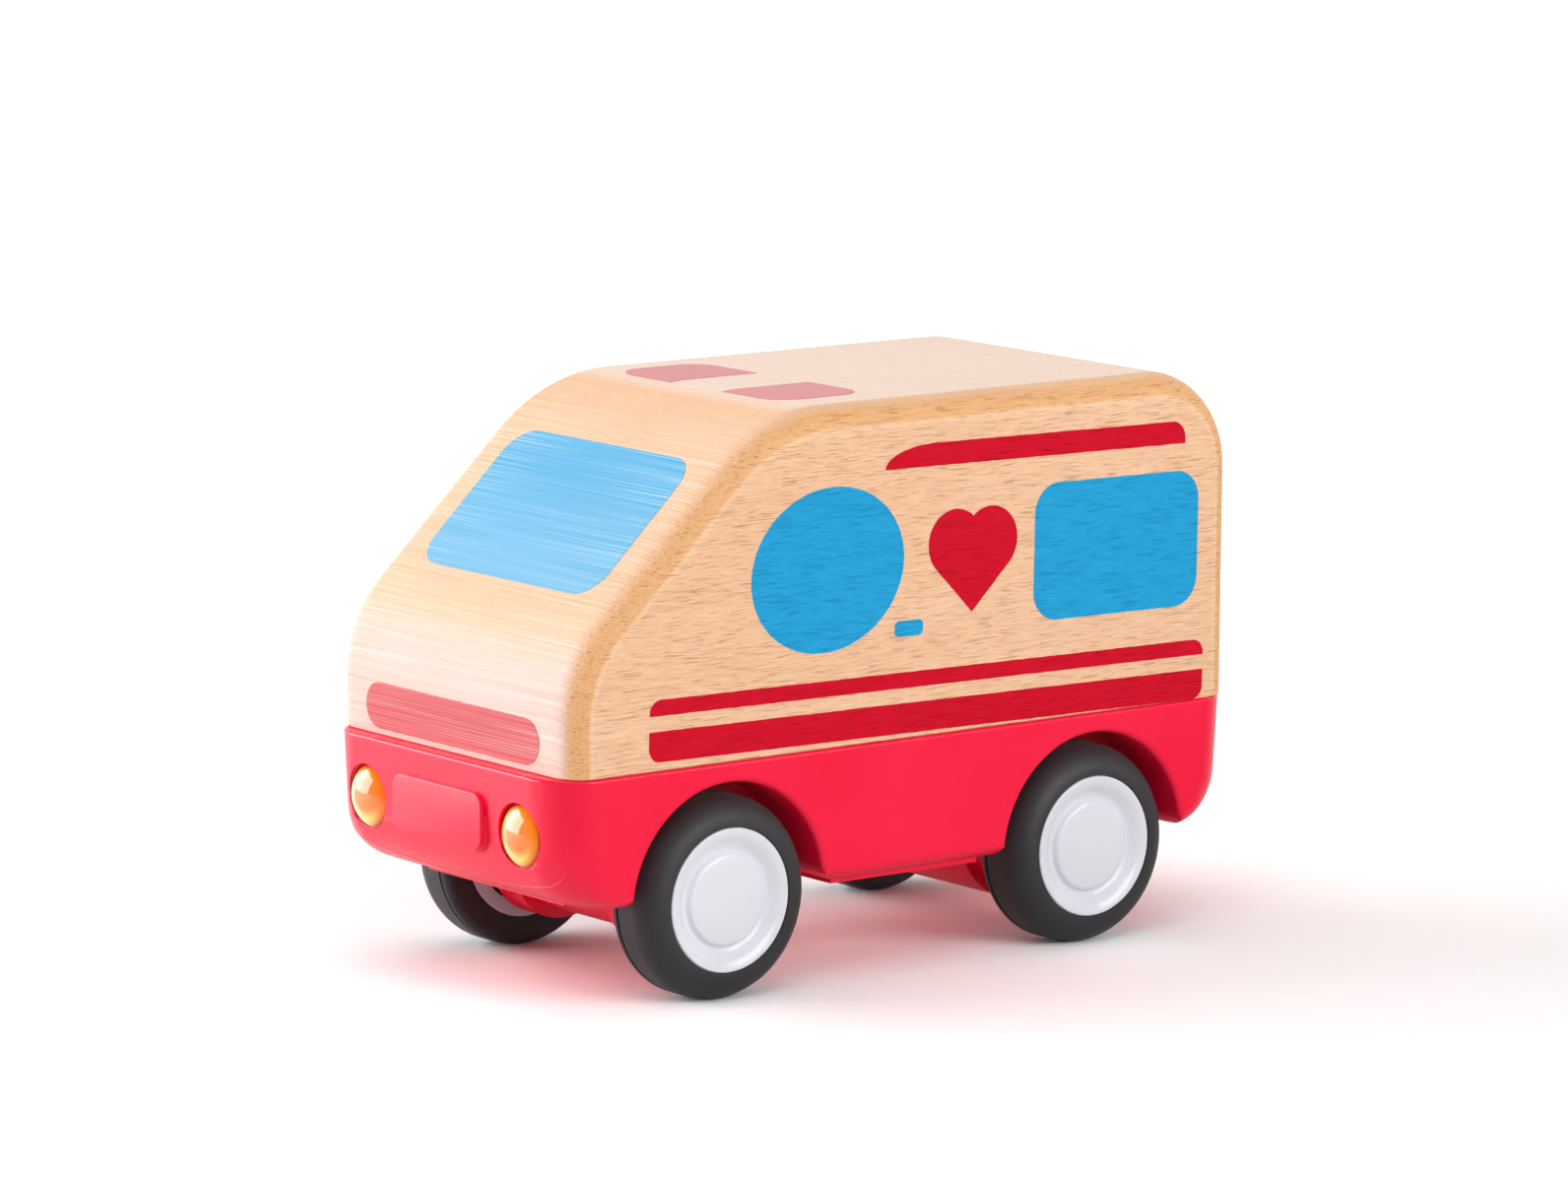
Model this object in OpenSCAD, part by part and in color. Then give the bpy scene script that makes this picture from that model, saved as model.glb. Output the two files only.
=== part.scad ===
// Toy ambulance: a printed beech block on a moulded chassis that rolls on two steel axles.
// Millimetres. X points forward, Y to the vehicle's left, Z up; the ground is at Z = 0.

/* [Overall] */
// Length over the chassis, bumper to bumper
toy_l = 120; // [112:1:132]
// Width over the chassis
toy_w = 55.4; // [52:0.2:62]
// Height of the roof above the ground
roof_z = 80; // [76:0.5:88]

/* [Wooden body] */
// Width of the ledge that the chassis leaves in front of the wood
nose_ledge = 2.2; // [1:0.1:4]
// Width of the ledge that the chassis leaves behind the wood
tail_ledge = 1.6; // [1:0.1:4]
// Width of the ledge along each side
side_ledge = 0.35; // [0.2:0.05:1]
// Slope of the windscreen above the horizontal, in degrees
windscreen_slope = 43.4; // [38:0.2:50]
// Height where the planes of the front and of the windscreen meet, as a share of the block's height
bonnet_share = 0.326; // [0.28:0.002:0.4]
// Radius between the front and the windscreen as a share of the block's height
nose_r_share = 0.405; // [0.2:0.005:0.42]
// Radius between the windscreen and the roof as a share of the block's height
brow_r_share = 0.575; // [0.3:0.005:0.6]
// Radius between the roof and the back as a share of the block's height
tail_r_share = 0.3; // [0.2:0.005:0.4]
// Radius worked along every edge of the sides
edge_r = 4; // [2:0.1:6]

/* [Chassis] */
// Height of the deck over the tops of the wheel arches
arch_cover = 2.9; // [2:0.1:4]
// Height of the sill, the lower edge of the shell, above the axles
sill_rise = 0.5; // [0.2:0.1:1]
// Radius of the corners seen from above
corner_r = 7.8; // [6:0.1:10]
// Radius under the bumpers
bumper_r = 8; // [6:0.1:10]
// How far the bumper faces set back from the deck to the sill
bumper_setback = 1.1; // [0:0.1:2]
// Radius along the foot of the sills
sill_r = 2.3; // [2.2:0.1:3]
// Thickness of the side walls
wall_t = 2; // [1.6:0.1:2.1]
// Thickness of the deck
deck_t = 2; // [1.6:0.1:2.4]
// Gap between a tyre's tread and its wheel arch
arch_gap = 2; // [1.2:0.1:2.4]
// Radius where a wheel arch runs into the sill
arch_foot_r = 3; // [1:0.1:4]
// Thickness of the wheel well's lining
well_t = 1.6; // [1.2:0.1:2]

/* [Base plate] */
// Thickness of the plate
base_t = 2.4; // [2:0.1:3]
// How far the plate hangs below the sill
base_drop = 0.9; // [0.5:0.1:1.2]
// Outer radius of the rear axle's housing
rear_housing_r = 10; // [8:0.1:10.2]
// Outer radius of the front axle's housing
front_housing_r = 7.2; // [7:0.1:9]
// Outer radius of the collars at the ends of both housings
collar_r = 8.7; // [8:0.1:9.4]
// Wall of the axle housings
housing_t = 1.8; // [1.4:0.1:2.2]

/* [Wheels] */
// Distance between the axles as a share of the length
wheelbase_share = 0.537; // [0.52:0.001:0.55]
// Distance from the rear bumper to the rear axle as a share of the length
rear_overhang_share = 0.223; // [0.215:0.001:0.235]
// Diameter of a hub's rim
hub_d = 20; // [18:0.2:20.4]
// Height of a tyre over the rim
tyre_h = 4.1; // [3.6:0.1:4.6]
// Width of a tyre
tyre_w = 8.5; // [7.6:0.1:9.5]
// Radius of a tyre's outer shoulder as a share of the tyre's height
tyre_shoulder_share = 0.93; // [0.5:0.01:0.95]
// Radius of the raised centre of a hub as a share of the rim's radius
hub_cap_share = 0.63; // [0.5:0.01:0.68]
// Depth of the dished ring round a hub's centre
hub_dish = 1.7; // [1:0.1:2]
// Diameter of the axles
axle_d = 3; // [2.5:0.1:3.4]
// Radial clearance of an axle in its bearings
axle_clearance = 0.06; // [0.02:0.01:0.1]

/* [Front fittings] */
// Diameter of a headlamp lens
lamp_d = 8.6; // [7:0.1:9.6]
// Height of a lens dome over its rim
lamp_dome = 2; // [1:0.1:2.6]
// Distance of each lamp from the side of the chassis
lamp_inset = 10.1; // [9.3:0.1:11.7]
// Distance of the lamps below the deck
lamp_drop = 8.5; // [7:0.1:9]
// Width of the raised plate
plate_w = 19.8; // [14:0.1:22]
// Height of the raised plate
plate_h = 7.2; // [5:0.1:8]
// Distance of the raised plate's middle below the deck
plate_drop = 7.9; // [7:0.1:9]
// How far the plate stands out of the bumper
plate_rise = 0.9; // [0.4:0.1:1.4]
// Width of the plate's sloping border
plate_border = 0.7; // [0.3:0.1:1]

/* [Prints] */
// Thickness of the ink
ink_t = 0.1; // [0.06:0.01:0.2]
// Tilt of the side prints, nose up, in degrees
print_tilt = 0.7; // [0:0.1:0.8]
// Width of the windscreen and of the grille bar as a share of the block's width
windscreen_w_share = 0.733; // [0.6:0.001:0.8]
// Length of the windscreen as a share of the slope
windscreen_l_share = 0.909; // [0.7:0.001:0.93]
// Height of the grille bar
grille_h = 6.4; // [4:0.1:7]
// Length of the oval front window as a share of the block's length
oval_l_share = 0.228; // [0.17:0.001:0.24]
// Height of the oval front window as a share of the block's height
oval_h_share = 0.48; // [0.38:0.001:0.5]
// Length of the rear window as a share of the block's length
rear_window_l_share = 0.258; // [0.2:0.001:0.27]
// Height of the rear window as a share of the block's height
rear_window_h_share = 0.411; // [0.3:0.001:0.45]
// Width of the heart as a share of the block's length
heart_w_share = 0.136; // [0.1:0.001:0.145]
// Height of the wide stripe
wide_stripe_h = 4.2; // [3:0.1:4.4]
// Height of the narrow stripe
narrow_stripe_h = 2.2; // [1.6:0.1:2.6]
// Height of the upper stripe
upper_stripe_h = 3.2; // [2.4:0.1:4]

/* [Hidden] */
$fn = 96;
LEFT = 1;
RIGHT = -1;
// Overrun of every cut past the face it opens
cut = 1;

// Heights that follow from the wheels
hub_r = hub_d / 2;
wheel_r = hub_r + tyre_h;
axle_z = wheel_r;
arch_r = wheel_r + arch_gap;
deck_z = axle_z + arch_r + arch_cover;
sill_z = axle_z + sill_rise;

// Headlamps, and the chassis set back so that it and the lenses lie evenly about the origin
lamp_y = toy_w / 2 - lamp_inset;
lamp_z = deck_z - lamp_drop;
plate_z = deck_z - plate_drop;
lamp_r = lamp_d / 2;
lamp_gap = 0.25;
lamp_rim_t = 0.9;
lamp_socket = 1;
lamp_pad_t = 1.6;
lamp_pad_w = 1.4;
lamp_stem_r = 2;
lamp_stem_gap = 0.05;
lamp_stem_l = 5;
fascia_inset = bumper_setback * (deck_z - lamp_z) / (deck_z - sill_z);
lamp_reach = lamp_rim_t - lamp_socket + lamp_dome - fascia_inset;
chassis_x = -lamp_reach / 2;
chassis_front_x = chassis_x + toy_l / 2;
chassis_rear_x = chassis_x - toy_l / 2;
fascia_x = chassis_front_x - fascia_inset;

// Wheels and axles
axle_r = axle_d / 2;
rear_axle_x = chassis_rear_x + toy_l * rear_overhang_share;
front_axle_x = rear_axle_x + toy_l * wheelbase_share;
// The hub's face stays this far inside the chassis side
hub_recess = 0.1;
hub_face_y = toy_w / 2 - hub_recess;
rim_lip_w = 1.3;
rim_lip_r = 0.6;
rim_wall = 1.4;
rim_flange_w = 0.9;
rim_flange_rise = 0.8;
hub_web_t = 1.6;
hub_cap_r = hub_r * hub_cap_share;
hub_cap_crown = 0.5;
hub_cap_drop = 0.7;
hub_cap_skirt = 0.5;
hub_valley_w = 0.9;
hub_boss_r = 3.2;
hub_rib_t = 1.2;
hub_rib_h = 3;
hub_ribs = 6;
// Depth of solid plastic in front of the axle's end
hub_nose_t = 3.4;
tyre_shoulder_r = tyre_h * tyre_shoulder_share;
tyre_inner_r = 1.2;
tyre_seam = 0.2;
tyre_seam_inset = 1.6;
tyre_lip_clearance = 0.05;
axle_chamfer = 0.4;

// Wheel wells
// Side play of a wheel between its tyre and the wall of its well
well_gap = 1.6;
well_y = hub_face_y - tyre_w - well_gap;
// Side play of a hub against the wall of its well
hub_play = 0.4;
// Clearance of the slot that an axle drops into
axle_slot_gap = 0.8;
arch_foot_x = sqrt(pow(arch_r + arch_foot_r, 2) - pow(sill_z + arch_foot_r - axle_z, 2));

// Chassis shell
lip_r = 0.45;
ring_steps = 12;
turn_steps = 16;
edge_steps = 7;
bumper_steps = 14;
lip_steps = 3;
plate_corner_r = 1.6;

// Opening in the shell's underside and the plate that closes it
foot_l = toy_l - 2 * (bumper_r + bumper_setback);
foot_w = toy_w - 2 * sill_r;
flange_inset = 0.5;
opening_inset = 2;
step_gap = 0.15;
base_z = sill_z - base_drop;
base_top_z = base_z + base_t;
notch_l = 2 * arch_foot_x;
housing_y = well_y - well_t - step_gap;
// Each axle's place and the radius of its housing
axle_housings = [[front_axle_x, front_housing_r], [rear_axle_x, rear_housing_r]];
// Half the length of a housing between its collars
housing_core_share = 0.654;
housing_core_y = housing_y * housing_core_share;
bearing_t = 2.4;
bearing_wall = 2.2;
inner_bearing_share = 0.34;

// Screws
// Distance of a base screw from the nearer axle housing
base_screw_gap = 4.1;
base_screw_x_places = [rear_axle_x + max(rear_housing_r, collar_r) + base_screw_gap,
                       front_axle_x - max(front_housing_r, collar_r) - base_screw_gap];
base_screw_y = housing_core_y;
base_screw_r = 1.1;
base_screw_l = 10;
base_head_r = 2.1;
base_head_h = 1.3;
base_head_gap = 0.2;
base_head_sink = 0.3;
base_boss_r = 2.8;
wood_screw_x = 9;
wood_screw_y = 14;
wood_screw_r = 1.5;
wood_screw_l = 16;
wood_head_r = 3;
wood_head_h = 1.8;
screw_gap = 0.05;
// Depth of a pilot hole past its screw's point
screw_end_gap = 0.6;
screw_tip_share = 0.3;
slot_w_share = 0.25;
slot_depth_share = 0.5;

// Wooden block
body_half_w = toy_w / 2 - side_ledge;
body_front_x = chassis_front_x - nose_ledge;
body_rear_x = chassis_rear_x + tail_ledge;
slope_dir = [-cos(windscreen_slope), sin(windscreen_slope)];
slope_normal = [sin(windscreen_slope), cos(windscreen_slope)];
nose_turn = 90 - windscreen_slope;
body_l = body_front_x - body_rear_x;
body_h = roof_z - deck_z;
bonnet_z = deck_z + body_h * bonnet_share;
nose_r = body_h * nose_r_share;
brow_r = body_h * brow_r_share;
tail_r = body_h * tail_r_share;
bonnet = [body_front_x, bonnet_z];
brow = bonnet + slope_dir * (roof_z - bonnet_z) / sin(windscreen_slope);
nose_tangent = nose_r * tan(nose_turn / 2);
brow_tangent = brow_r * tan(windscreen_slope / 2);
nose_centre = [body_front_x - nose_r, bonnet_z - nose_tangent];
brow_centre = [brow[0] - brow_tangent, roof_z - brow_r];
tail_centre = [body_rear_x + tail_r, roof_z - tail_r];
slope_foot = bonnet + slope_dir * nose_tangent;
slope_head = brow - slope_dir * brow_tangent;

// Prints on the front, the windscreen and the roof
windscreen_w = 2 * body_half_w * windscreen_w_share;
windscreen_l = norm(slope_head - slope_foot) * windscreen_l_share;
windscreen_corner_r = 4.5;
// Distance of the windscreen's upper edge above the start of the brow
windscreen_rise = 0.75;
// Height of the grille bar's middle over the deck
grille_rise = 4.1;
// Distance of the roof lamps' front edges past the start of the brow
roof_lamp_reach = 3;
roof_lamp_l = 15.2;
roof_lamp_w_share = 0.483;
roof_lamp_y_share = 0.212;
roof_lamp_r = 4.5;

// Prints on the sides, placed by shares of the block's length from its back and of its height
print_pivot_shares = [0.432, -0.081];
oval_shares = [0.6325, 0.519];
oval_turn = -11.2;
rear_window_shares = [0.19, 0.5075];
rear_window_r = 4.2;
handle_shares = [0.5095, 0.324];
handle_l_share = 0.043;
handle_h_share = 0.047;
handle_r_share = 0.36;
heart_shares = [0.414, 0.5075];
heart_h_share = 0.92;
heart_lobe_share = 0.302;
stripe_x_shares = [0.0475, 0.8907];
// Gap between the deck and the wide stripe
stripe_foot_gap = 0.6;
// Gap between the two lower stripes
stripe_gap = 2.1;
stripe_corner_share = 0.86;
upper_stripe_x_shares = [0.0845, 0.5495];
upper_stripe_z_share = 0.795;
upper_stripe_nose_share = 0.0775;
upper_stripe_tail_share = 0.75;

// Points along an arc
function arc(centre, r, from, to, steps) =
    [for (i = [0 : steps]) let (a = from + (to - from) * i / steps) centre + r * [cos(a), sin(a)]];

// A rounded rectangle about a middle point as a ring of points at one height
function ring(middle_x, half_l, half_w, r, z) =
    [for (q = [0 : 3])
        let (sx = (q == 0 || q == 3) ? 1 : -1, sy = q < 2 ? 1 : -1)
        for (p = arc([middle_x + sx * (half_l - r), sy * (half_w - r)], r, 90 * q, 90 * (q + 1), ring_steps))
        [p[0], p[1], z]];

// Draws children on one side of the vehicle, left as modelled
module on_side(side) {
    mirror([0, side == LEFT ? 0 : 1, 0]) children();
}

// Turns a flat outline in X and Z into a sheet that grows outwards from Y = 0
module upright(t) {
    rotate([90, 0, 0]) translate([0, 0, -t]) linear_extrude(t) children();
}

// A quarter disc that fills one corner, given by the signs of its directions
module quarter_disc(r, sx, sy) {
    intersection() {
        circle(r);
        translate([sx < 0 ? -r : 0, sy < 0 ? -r : 0]) square(r);
    }
}

// A rectangle about its middle whose four corners take their own radii: the first is right and
// upper, and the rest follow anticlockwise
module rounded_rect(l, h, radii) {
    signs = [[1, 1], [-1, 1], [-1, -1], [1, -1]];
    difference() {
        square([l, h], center = true);
        for (i = [0 : 3]) {
            r = radii[i];
            s = signs[i];
            if (r > 0) translate([s[0] * (l / 2 - r), s[1] * (h / 2 - r)]) difference() {
                translate([s[0] < 0 ? -r - cut : 0, s[1] < 0 ? -r - cut : 0]) square(r + cut);
                circle(r);
            }
        }
    }
}

// A solid skinned over a stack of rings, from the lowest ring up
module loft(rings) {
    m = len(rings[0]);
    k = len(rings);
    sides = [for (j = [0 : k - 2]) for (i = [0 : m - 1])
        let (a = j * m + i, b = j * m + (i + 1) % m, c = b + m, d = a + m) each [[a, d, c], [a, c, b]]];
    foot = [for (i = [0 : m - 1]) i];
    head = [for (i = [m - 1 : -1 : 0]) (k - 1) * m + i];
    polyhedron(points = [for (r = rings) each r], faces = concat([foot], sides, [head]));
}

// The block's outline seen from the side, moved inwards by inset; its foot stays on the deck
function block_points(inset) = concat(
    [[body_rear_x + inset, deck_z], [body_front_x - inset, deck_z]],
    arc(nose_centre, nose_r - inset, 0, nose_turn, turn_steps),
    arc(brow_centre, brow_r - inset, nose_turn, 90, turn_steps),
    arc(tail_centre, tail_r - inset, 90, 180, turn_steps)
);

// The block's rings across its width, from the left side to the right, rounded at both sides
function block_rings() =
    [for (s = [1, -1], i = [0 : edge_steps])
        let (a = 90 * (s > 0 ? i : edge_steps - i) / edge_steps)
        [for (p = block_points(edge_r * (1 - sin(a))))
            [p[0], s * (body_half_w - edge_r * (1 - cos(a))), p[1]]]];

module wooden_body() {
    color("burlywood") difference() {
        loft(block_rings());
        wood_screw_places() translate([0, 0, -cut])
            cylinder(r = wood_screw_r + screw_gap, h = wood_screw_l - deck_t + cut);
    }
}

// Rings of the shell and of its cavity, from the foot up
function sill_inset(z, r) = z > sill_z + r ? 0 : r - sqrt(max(0, r * r - pow(sill_z + r - z, 2)));
function setback_at(z) = bumper_setback * (deck_z - z) / (deck_z - sill_z);
function shell_ring(z, end_inset, side_inset) =
    ring(chassis_x, toy_l / 2 - end_inset - setback_at(z), toy_w / 2 - side_inset, corner_r, z);
function shell_rings() = concat(
    [for (i = [0 : bumper_steps])
        let (a = 90 * (1 - i / bumper_steps), z = sill_z + bumper_r * (1 - sin(a)))
        shell_ring(z, bumper_r * (1 - cos(a)), sill_inset(z, sill_r))],
    [for (i = [0 : lip_steps])
        let (a = 90 * i / lip_steps, g = lip_r * (1 - cos(a)))
        shell_ring(deck_z - lip_r * (1 - sin(a)), g, g)]
);
function cavity_ring(z, end_inset) =
    ring(chassis_x, toy_l / 2 - wall_t - end_inset - setback_at(z), toy_w / 2 - wall_t, corner_r - wall_t, z);
function cavity_rings() = concat(
    [for (i = [0 : bumper_steps])
        let (a = 90 * (1 - i / bumper_steps), r = bumper_r - wall_t, z = sill_z + bumper_r - r * sin(a))
        cavity_ring(z, r * (1 - cos(a)))],
    [cavity_ring(deck_z - deck_t, 0)]
);

// Outline of a wheel well about its axle, flaring at the foot
module arch_outline() {
    h = sill_z + arch_foot_r - axle_z;
    foot = sill_z - axle_z - cut;
    circle(arch_r);
    for (s = [-1, 1]) difference() {
        polygon([[0, 0], [s * arch_foot_x, h], [s * arch_foot_x, foot], [0, foot]]);
        translate([s * arch_foot_x, h]) circle(arch_foot_r);
    }
}

// Draws children at both axles
module at_axles() {
    for (x = [front_axle_x, rear_axle_x]) translate([x, 0, axle_z]) children();
}

// Outline of the underside, less the four wheel wells, whose linings are kept clear by gap
module foot_outline(inset, gap) {
    notch_w = toy_w / 2 - well_y + well_t + gap;
    r = corner_r - inset;
    difference() {
        translate([chassis_x, 0]) rounded_rect(foot_l - 2 * inset, foot_w - 2 * inset, [r, r, r, r]);
        for (x = [front_axle_x, rear_axle_x], s = [-1, 1])
            translate([x, s * toy_w / 2]) square([notch_l + 2 * inset, 2 * notch_w], center = true);
    }
}

module at_lamp(side) {
    on_side(side) translate([fascia_x, lamp_y, lamp_z]) rotate([0, 90, 0]) children();
}

module wood_screw_places() {
    for (x = [-wood_screw_x, wood_screw_x], s = [-1, 1])
        translate([chassis_x + x, s * wood_screw_y, deck_z]) children();
}

module base_screw_places() {
    for (x = base_screw_x_places, s = [-1, 1])
        translate([x, s * base_screw_y, base_z]) children();
}

module chassis_shell() {
    color("crimson") difference() {
        union() {
            difference() {
                loft(shell_rings());
                loft(cavity_rings());
                translate([0, 0, sill_z - cut]) linear_extrude(wall_t + 2 * cut)
                    foot_outline(opening_inset, 0);
            }
            intersection() {
                loft(shell_rings());
                union() {
                    at_axles() for (side = [LEFT, RIGHT]) on_side(side) translate([0, well_y - well_t, 0])
                        upright(toy_w / 2) circle(arch_r + well_t);
                    for (side = [LEFT, RIGHT]) at_lamp(side) translate([0, 0, -wall_t - lamp_pad_t])
                        cylinder(r = lamp_r + lamp_pad_w, h = wall_t + lamp_pad_t);
                }
            }
            base_screw_places() translate([0, 0, base_t])
                cylinder(r = base_boss_r, h = deck_z - deck_t - base_top_z + deck_t / 2);
            raised_plate();
        }
        at_axles() for (side = [LEFT, RIGHT]) on_side(side) {
            translate([0, well_y, 0]) upright(toy_w) arch_outline();
            translate([0, well_y - well_t - cut, 0]) upright(well_t + 2 * cut) axle_slot();
        }
        for (side = [LEFT, RIGHT]) at_lamp(side) {
            translate([0, 0, -lamp_socket]) cylinder(r = lamp_r + lamp_gap, h = lamp_socket + cut);
            translate([0, 0, -wall_t - lamp_pad_t - cut])
                cylinder(r = lamp_stem_r + lamp_stem_gap, h = wall_t + lamp_pad_t + 2 * cut);
        }
        base_screw_places()
            cylinder(r = base_screw_r + screw_gap, h = base_head_sink + base_head_h + base_screw_l);
        wood_screw_places() translate([0, 0, -deck_t - cut])
            cylinder(r = wood_screw_r + screw_gap, h = deck_t + 2 * cut);
    }
}

// Round-ended slot, open below, that an axle drops into
module axle_slot() {
    r = axle_r + axle_slot_gap;
    circle(r);
    translate([-r, -arch_r]) square([2 * r, arch_r]);
}

// Blank raised plate in the middle of the front bumper, with a sloping border
function plate_ring(border, z) =
    ring(0, plate_w / 2 + border, plate_h / 2 + border, plate_corner_r + border, z);
module raised_plate() {
    translate([fascia_x, 0, plate_z]) rotate([90, 0, 90])
        loft([plate_ring(plate_border, -wall_t / 2), plate_ring(plate_border, 0), plate_ring(0, plate_rise)]);
}

module base_plate() {
    color("firebrick") difference() {
        union() {
            difference() {
                union() {
                    translate([0, 0, base_z]) linear_extrude(base_drop) foot_outline(flange_inset, step_gap);
                    translate([0, 0, sill_z]) linear_extrude(base_t - base_drop)
                        foot_outline(opening_inset + step_gap, step_gap);
                    for (a = axle_housings) translate([a[0], 0, axle_z])
                        housing(a[1], collar_r, housing_core_y, housing_y);
                }
                for (a = axle_housings) translate([a[0], 0, axle_z]) housing_hollow(a[1]);
            }
            for (a = axle_housings, s = [-1, 1]) translate([a[0], 0, axle_z]) {
                translate([0, s * (housing_y - bearing_t / 2), 0]) bearing(collar_r);
                translate([0, s * inner_bearing_share * housing_y, 0]) bearing(a[1]);
            }
        }
        at_axles() rotate([90, 0, 0]) cylinder(r = axle_r + axle_clearance, h = toy_w, center = true);
        base_screw_places() {
            translate([0, 0, -cut])
                cylinder(r = base_head_r + base_head_gap, h = base_head_sink + base_head_h + cut);
            cylinder(r = base_screw_r + screw_gap, h = base_t + cut);
        }
    }
}

// Outline of the part of a housing below the top of the plate
module housing_outline(r) {
    difference() {
        circle(r);
        translate([-r - cut, base_top_z - axle_z]) square(2 * (r + cut));
    }
}

// Lower half of an axle housing: a core and the collars on both sides of it
module housing(core_r, end_r, core_y, end_y) {
    rotate([90, 0, 0]) {
        linear_extrude(2 * core_y, center = true) housing_outline(core_r);
        for (y = [-end_y, core_y]) translate([0, 0, y]) linear_extrude(end_y - core_y) housing_outline(end_r);
    }
}

// Hollow of a housing, which leaves the same wall round the core and the collars
module housing_hollow(core_r) {
    step = core_r > collar_r ? -housing_t : housing_t;
    housing(core_r - housing_t, collar_r - housing_t, housing_core_y + step, housing_y - housing_t);
}

// A cross wall that carries the axle, in a housing of outer radius r
module bearing(r) {
    top = axle_r + bearing_wall;
    rotate([90, 0, 0]) linear_extrude(bearing_t, center = true) {
        housing_outline(r - housing_t / 2);
        translate([-top, 0]) square([2 * top, top]);
    }
}

// A clear lens: a dome on a rim, with a stem that holds it in the bumper
module headlamp(side) {
    dome_r = (lamp_r * lamp_r + lamp_dome * lamp_dome) / (2 * lamp_dome);
    half_angle = asin(lamp_r / dome_r);
    rim_z = lamp_rim_t - lamp_socket;
    stem_z = -lamp_socket - lamp_stem_l;
    color("orange", 0.8) at_lamp(side) rotate_extrude() polygon(concat(
        [[0, stem_z], [lamp_stem_r, stem_z], [lamp_stem_r, -lamp_socket], [lamp_r, -lamp_socket]],
        arc([0, rim_z + lamp_dome - dome_r], dome_r, 90 - half_angle, 90, ring_steps)
    ));
}

// A screw that points up, with a slotted pan head below the origin
module screw(r, l, head_r, head_h) {
    tip = screw_tip_share * l;
    difference() {
        union() {
            cylinder(r = r, h = l - tip);
            translate([0, 0, l - tip]) cylinder(r1 = r, r2 = r * screw_tip_share, h = tip);
            translate([0, 0, -head_h]) cylinder(r = head_r, h = head_h);
        }
        for (a = [0, 90]) rotate([0, 0, a]) translate([0, 0, -head_h])
            cube([head_r, slot_w_share * head_r, 2 * slot_depth_share * head_h], center = true);
    }
}

module wood_screws() {
    color("silver") wood_screw_places() translate([0, 0, -deck_t])
        screw(wood_screw_r, wood_screw_l - screw_end_gap, wood_head_r, wood_head_h);
}

module base_screws() {
    color("silver") base_screw_places() translate([0, 0, base_head_sink + base_head_h])
        screw(base_screw_r, base_screw_l - screw_end_gap, base_head_r, base_head_h);
}

// Draws a wheel's parts at one end of an axle: Z = 0 is the hub's face and -Z runs inwards
module at_wheel(axle_x, side) {
    on_side(side) translate([axle_x, hub_face_y, axle_z]) rotate([-90, 0, 0]) children();
}

module axle(axle_x) {
    half_l = hub_face_y - hub_nose_t;
    c = axle_chamfer;
    color("silver") translate([axle_x, 0, axle_z]) rotate([90, 0, 0]) rotate_extrude() polygon([
        [0, -half_l], [axle_r - c, -half_l], [axle_r, c - half_l],
        [axle_r, half_l - c], [axle_r - c, half_l], [0, half_l]
    ]);
}

// Face of a hub from its middle out: a crowned centre, a dished ring and a rounded rim
function hub_face() = let (
        cap_z = -hub_cap_drop,
        valley_z = -hub_dish,
        valley_r = hub_cap_r + hub_cap_skirt + hub_valley_w,
        lip_r = hub_r - rim_lip_w
    ) concat(
        [for (i = [0 : ring_steps]) let (u = i / ring_steps)
            [hub_cap_r * u, cap_z + hub_cap_crown * (1 - u * u)]],
        [[hub_cap_r + hub_cap_skirt, valley_z], [valley_r, valley_z]],
        arc([lip_r, -rim_lip_r], rim_lip_r, 150, 90, ring_steps / 3),
        arc([hub_r - rim_lip_r, -rim_lip_r], rim_lip_r, 90, 0, ring_steps / 3)
    );

module hub(axle_x, side) {
    seat_r = hub_r - rim_flange_rise;
    back_z = -hub_dish - hub_web_t;
    bore_r = seat_r - rim_wall;
    boss_z = well_y + hub_play - hub_face_y;
    color("whitesmoke") at_wheel(axle_x, side) difference() {
        union() {
            rotate_extrude() polygon(concat(hub_face(), [
                [hub_r, -rim_flange_w], [seat_r, -rim_flange_w],
                [seat_r, rim_flange_w - tyre_w], [hub_r, rim_flange_w - tyre_w], [hub_r, -tyre_w],
                [bore_r, -tyre_w], [bore_r, back_z], [0, back_z]
            ]));
            translate([0, 0, boss_z]) cylinder(r = hub_boss_r, h = back_z - boss_z + hub_web_t / 2);
            for (i = [0 : hub_ribs - 1]) rotate([0, 0, 360 * i / hub_ribs])
                translate([hub_boss_r / 2, -hub_rib_t / 2, back_z - hub_rib_h])
                cube([bore_r + rim_wall / 2 - hub_boss_r / 2, hub_rib_t, hub_rib_h + hub_web_t / 2]);
        }
        translate([0, 0, boss_z - cut]) cylinder(r = axle_r, h = cut - boss_z - hub_nose_t);
    }
}

// Soft ring with a round outer shoulder and a fine parting seam near its inner edge
module tyre(axle_x, side) {
    seat_r = hub_r - rim_flange_rise;
    lip_r = hub_r + tyre_lip_clearance;
    seam_z = tyre_seam_inset - tyre_w;
    color([0.16, 0.16, 0.17]) at_wheel(axle_x, side) rotate_extrude() polygon(concat(
        [[seat_r, rim_flange_w - tyre_w], [seat_r, -rim_flange_w], [lip_r, -rim_flange_w], [lip_r, 0]],
        arc([wheel_r - tyre_shoulder_r, -tyre_shoulder_r], tyre_shoulder_r, 90, 0, ring_steps),
        [[wheel_r, seam_z + tyre_seam], [wheel_r - tyre_seam, seam_z], [wheel_r, seam_z - tyre_seam]],
        arc([wheel_r - tyre_inner_r, tyre_inner_r - tyre_w], tyre_inner_r, 0, -90, ring_steps / 2),
        [[lip_r, -tyre_w], [lip_r, rim_flange_w - tyre_w]]
    ));
}

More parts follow.
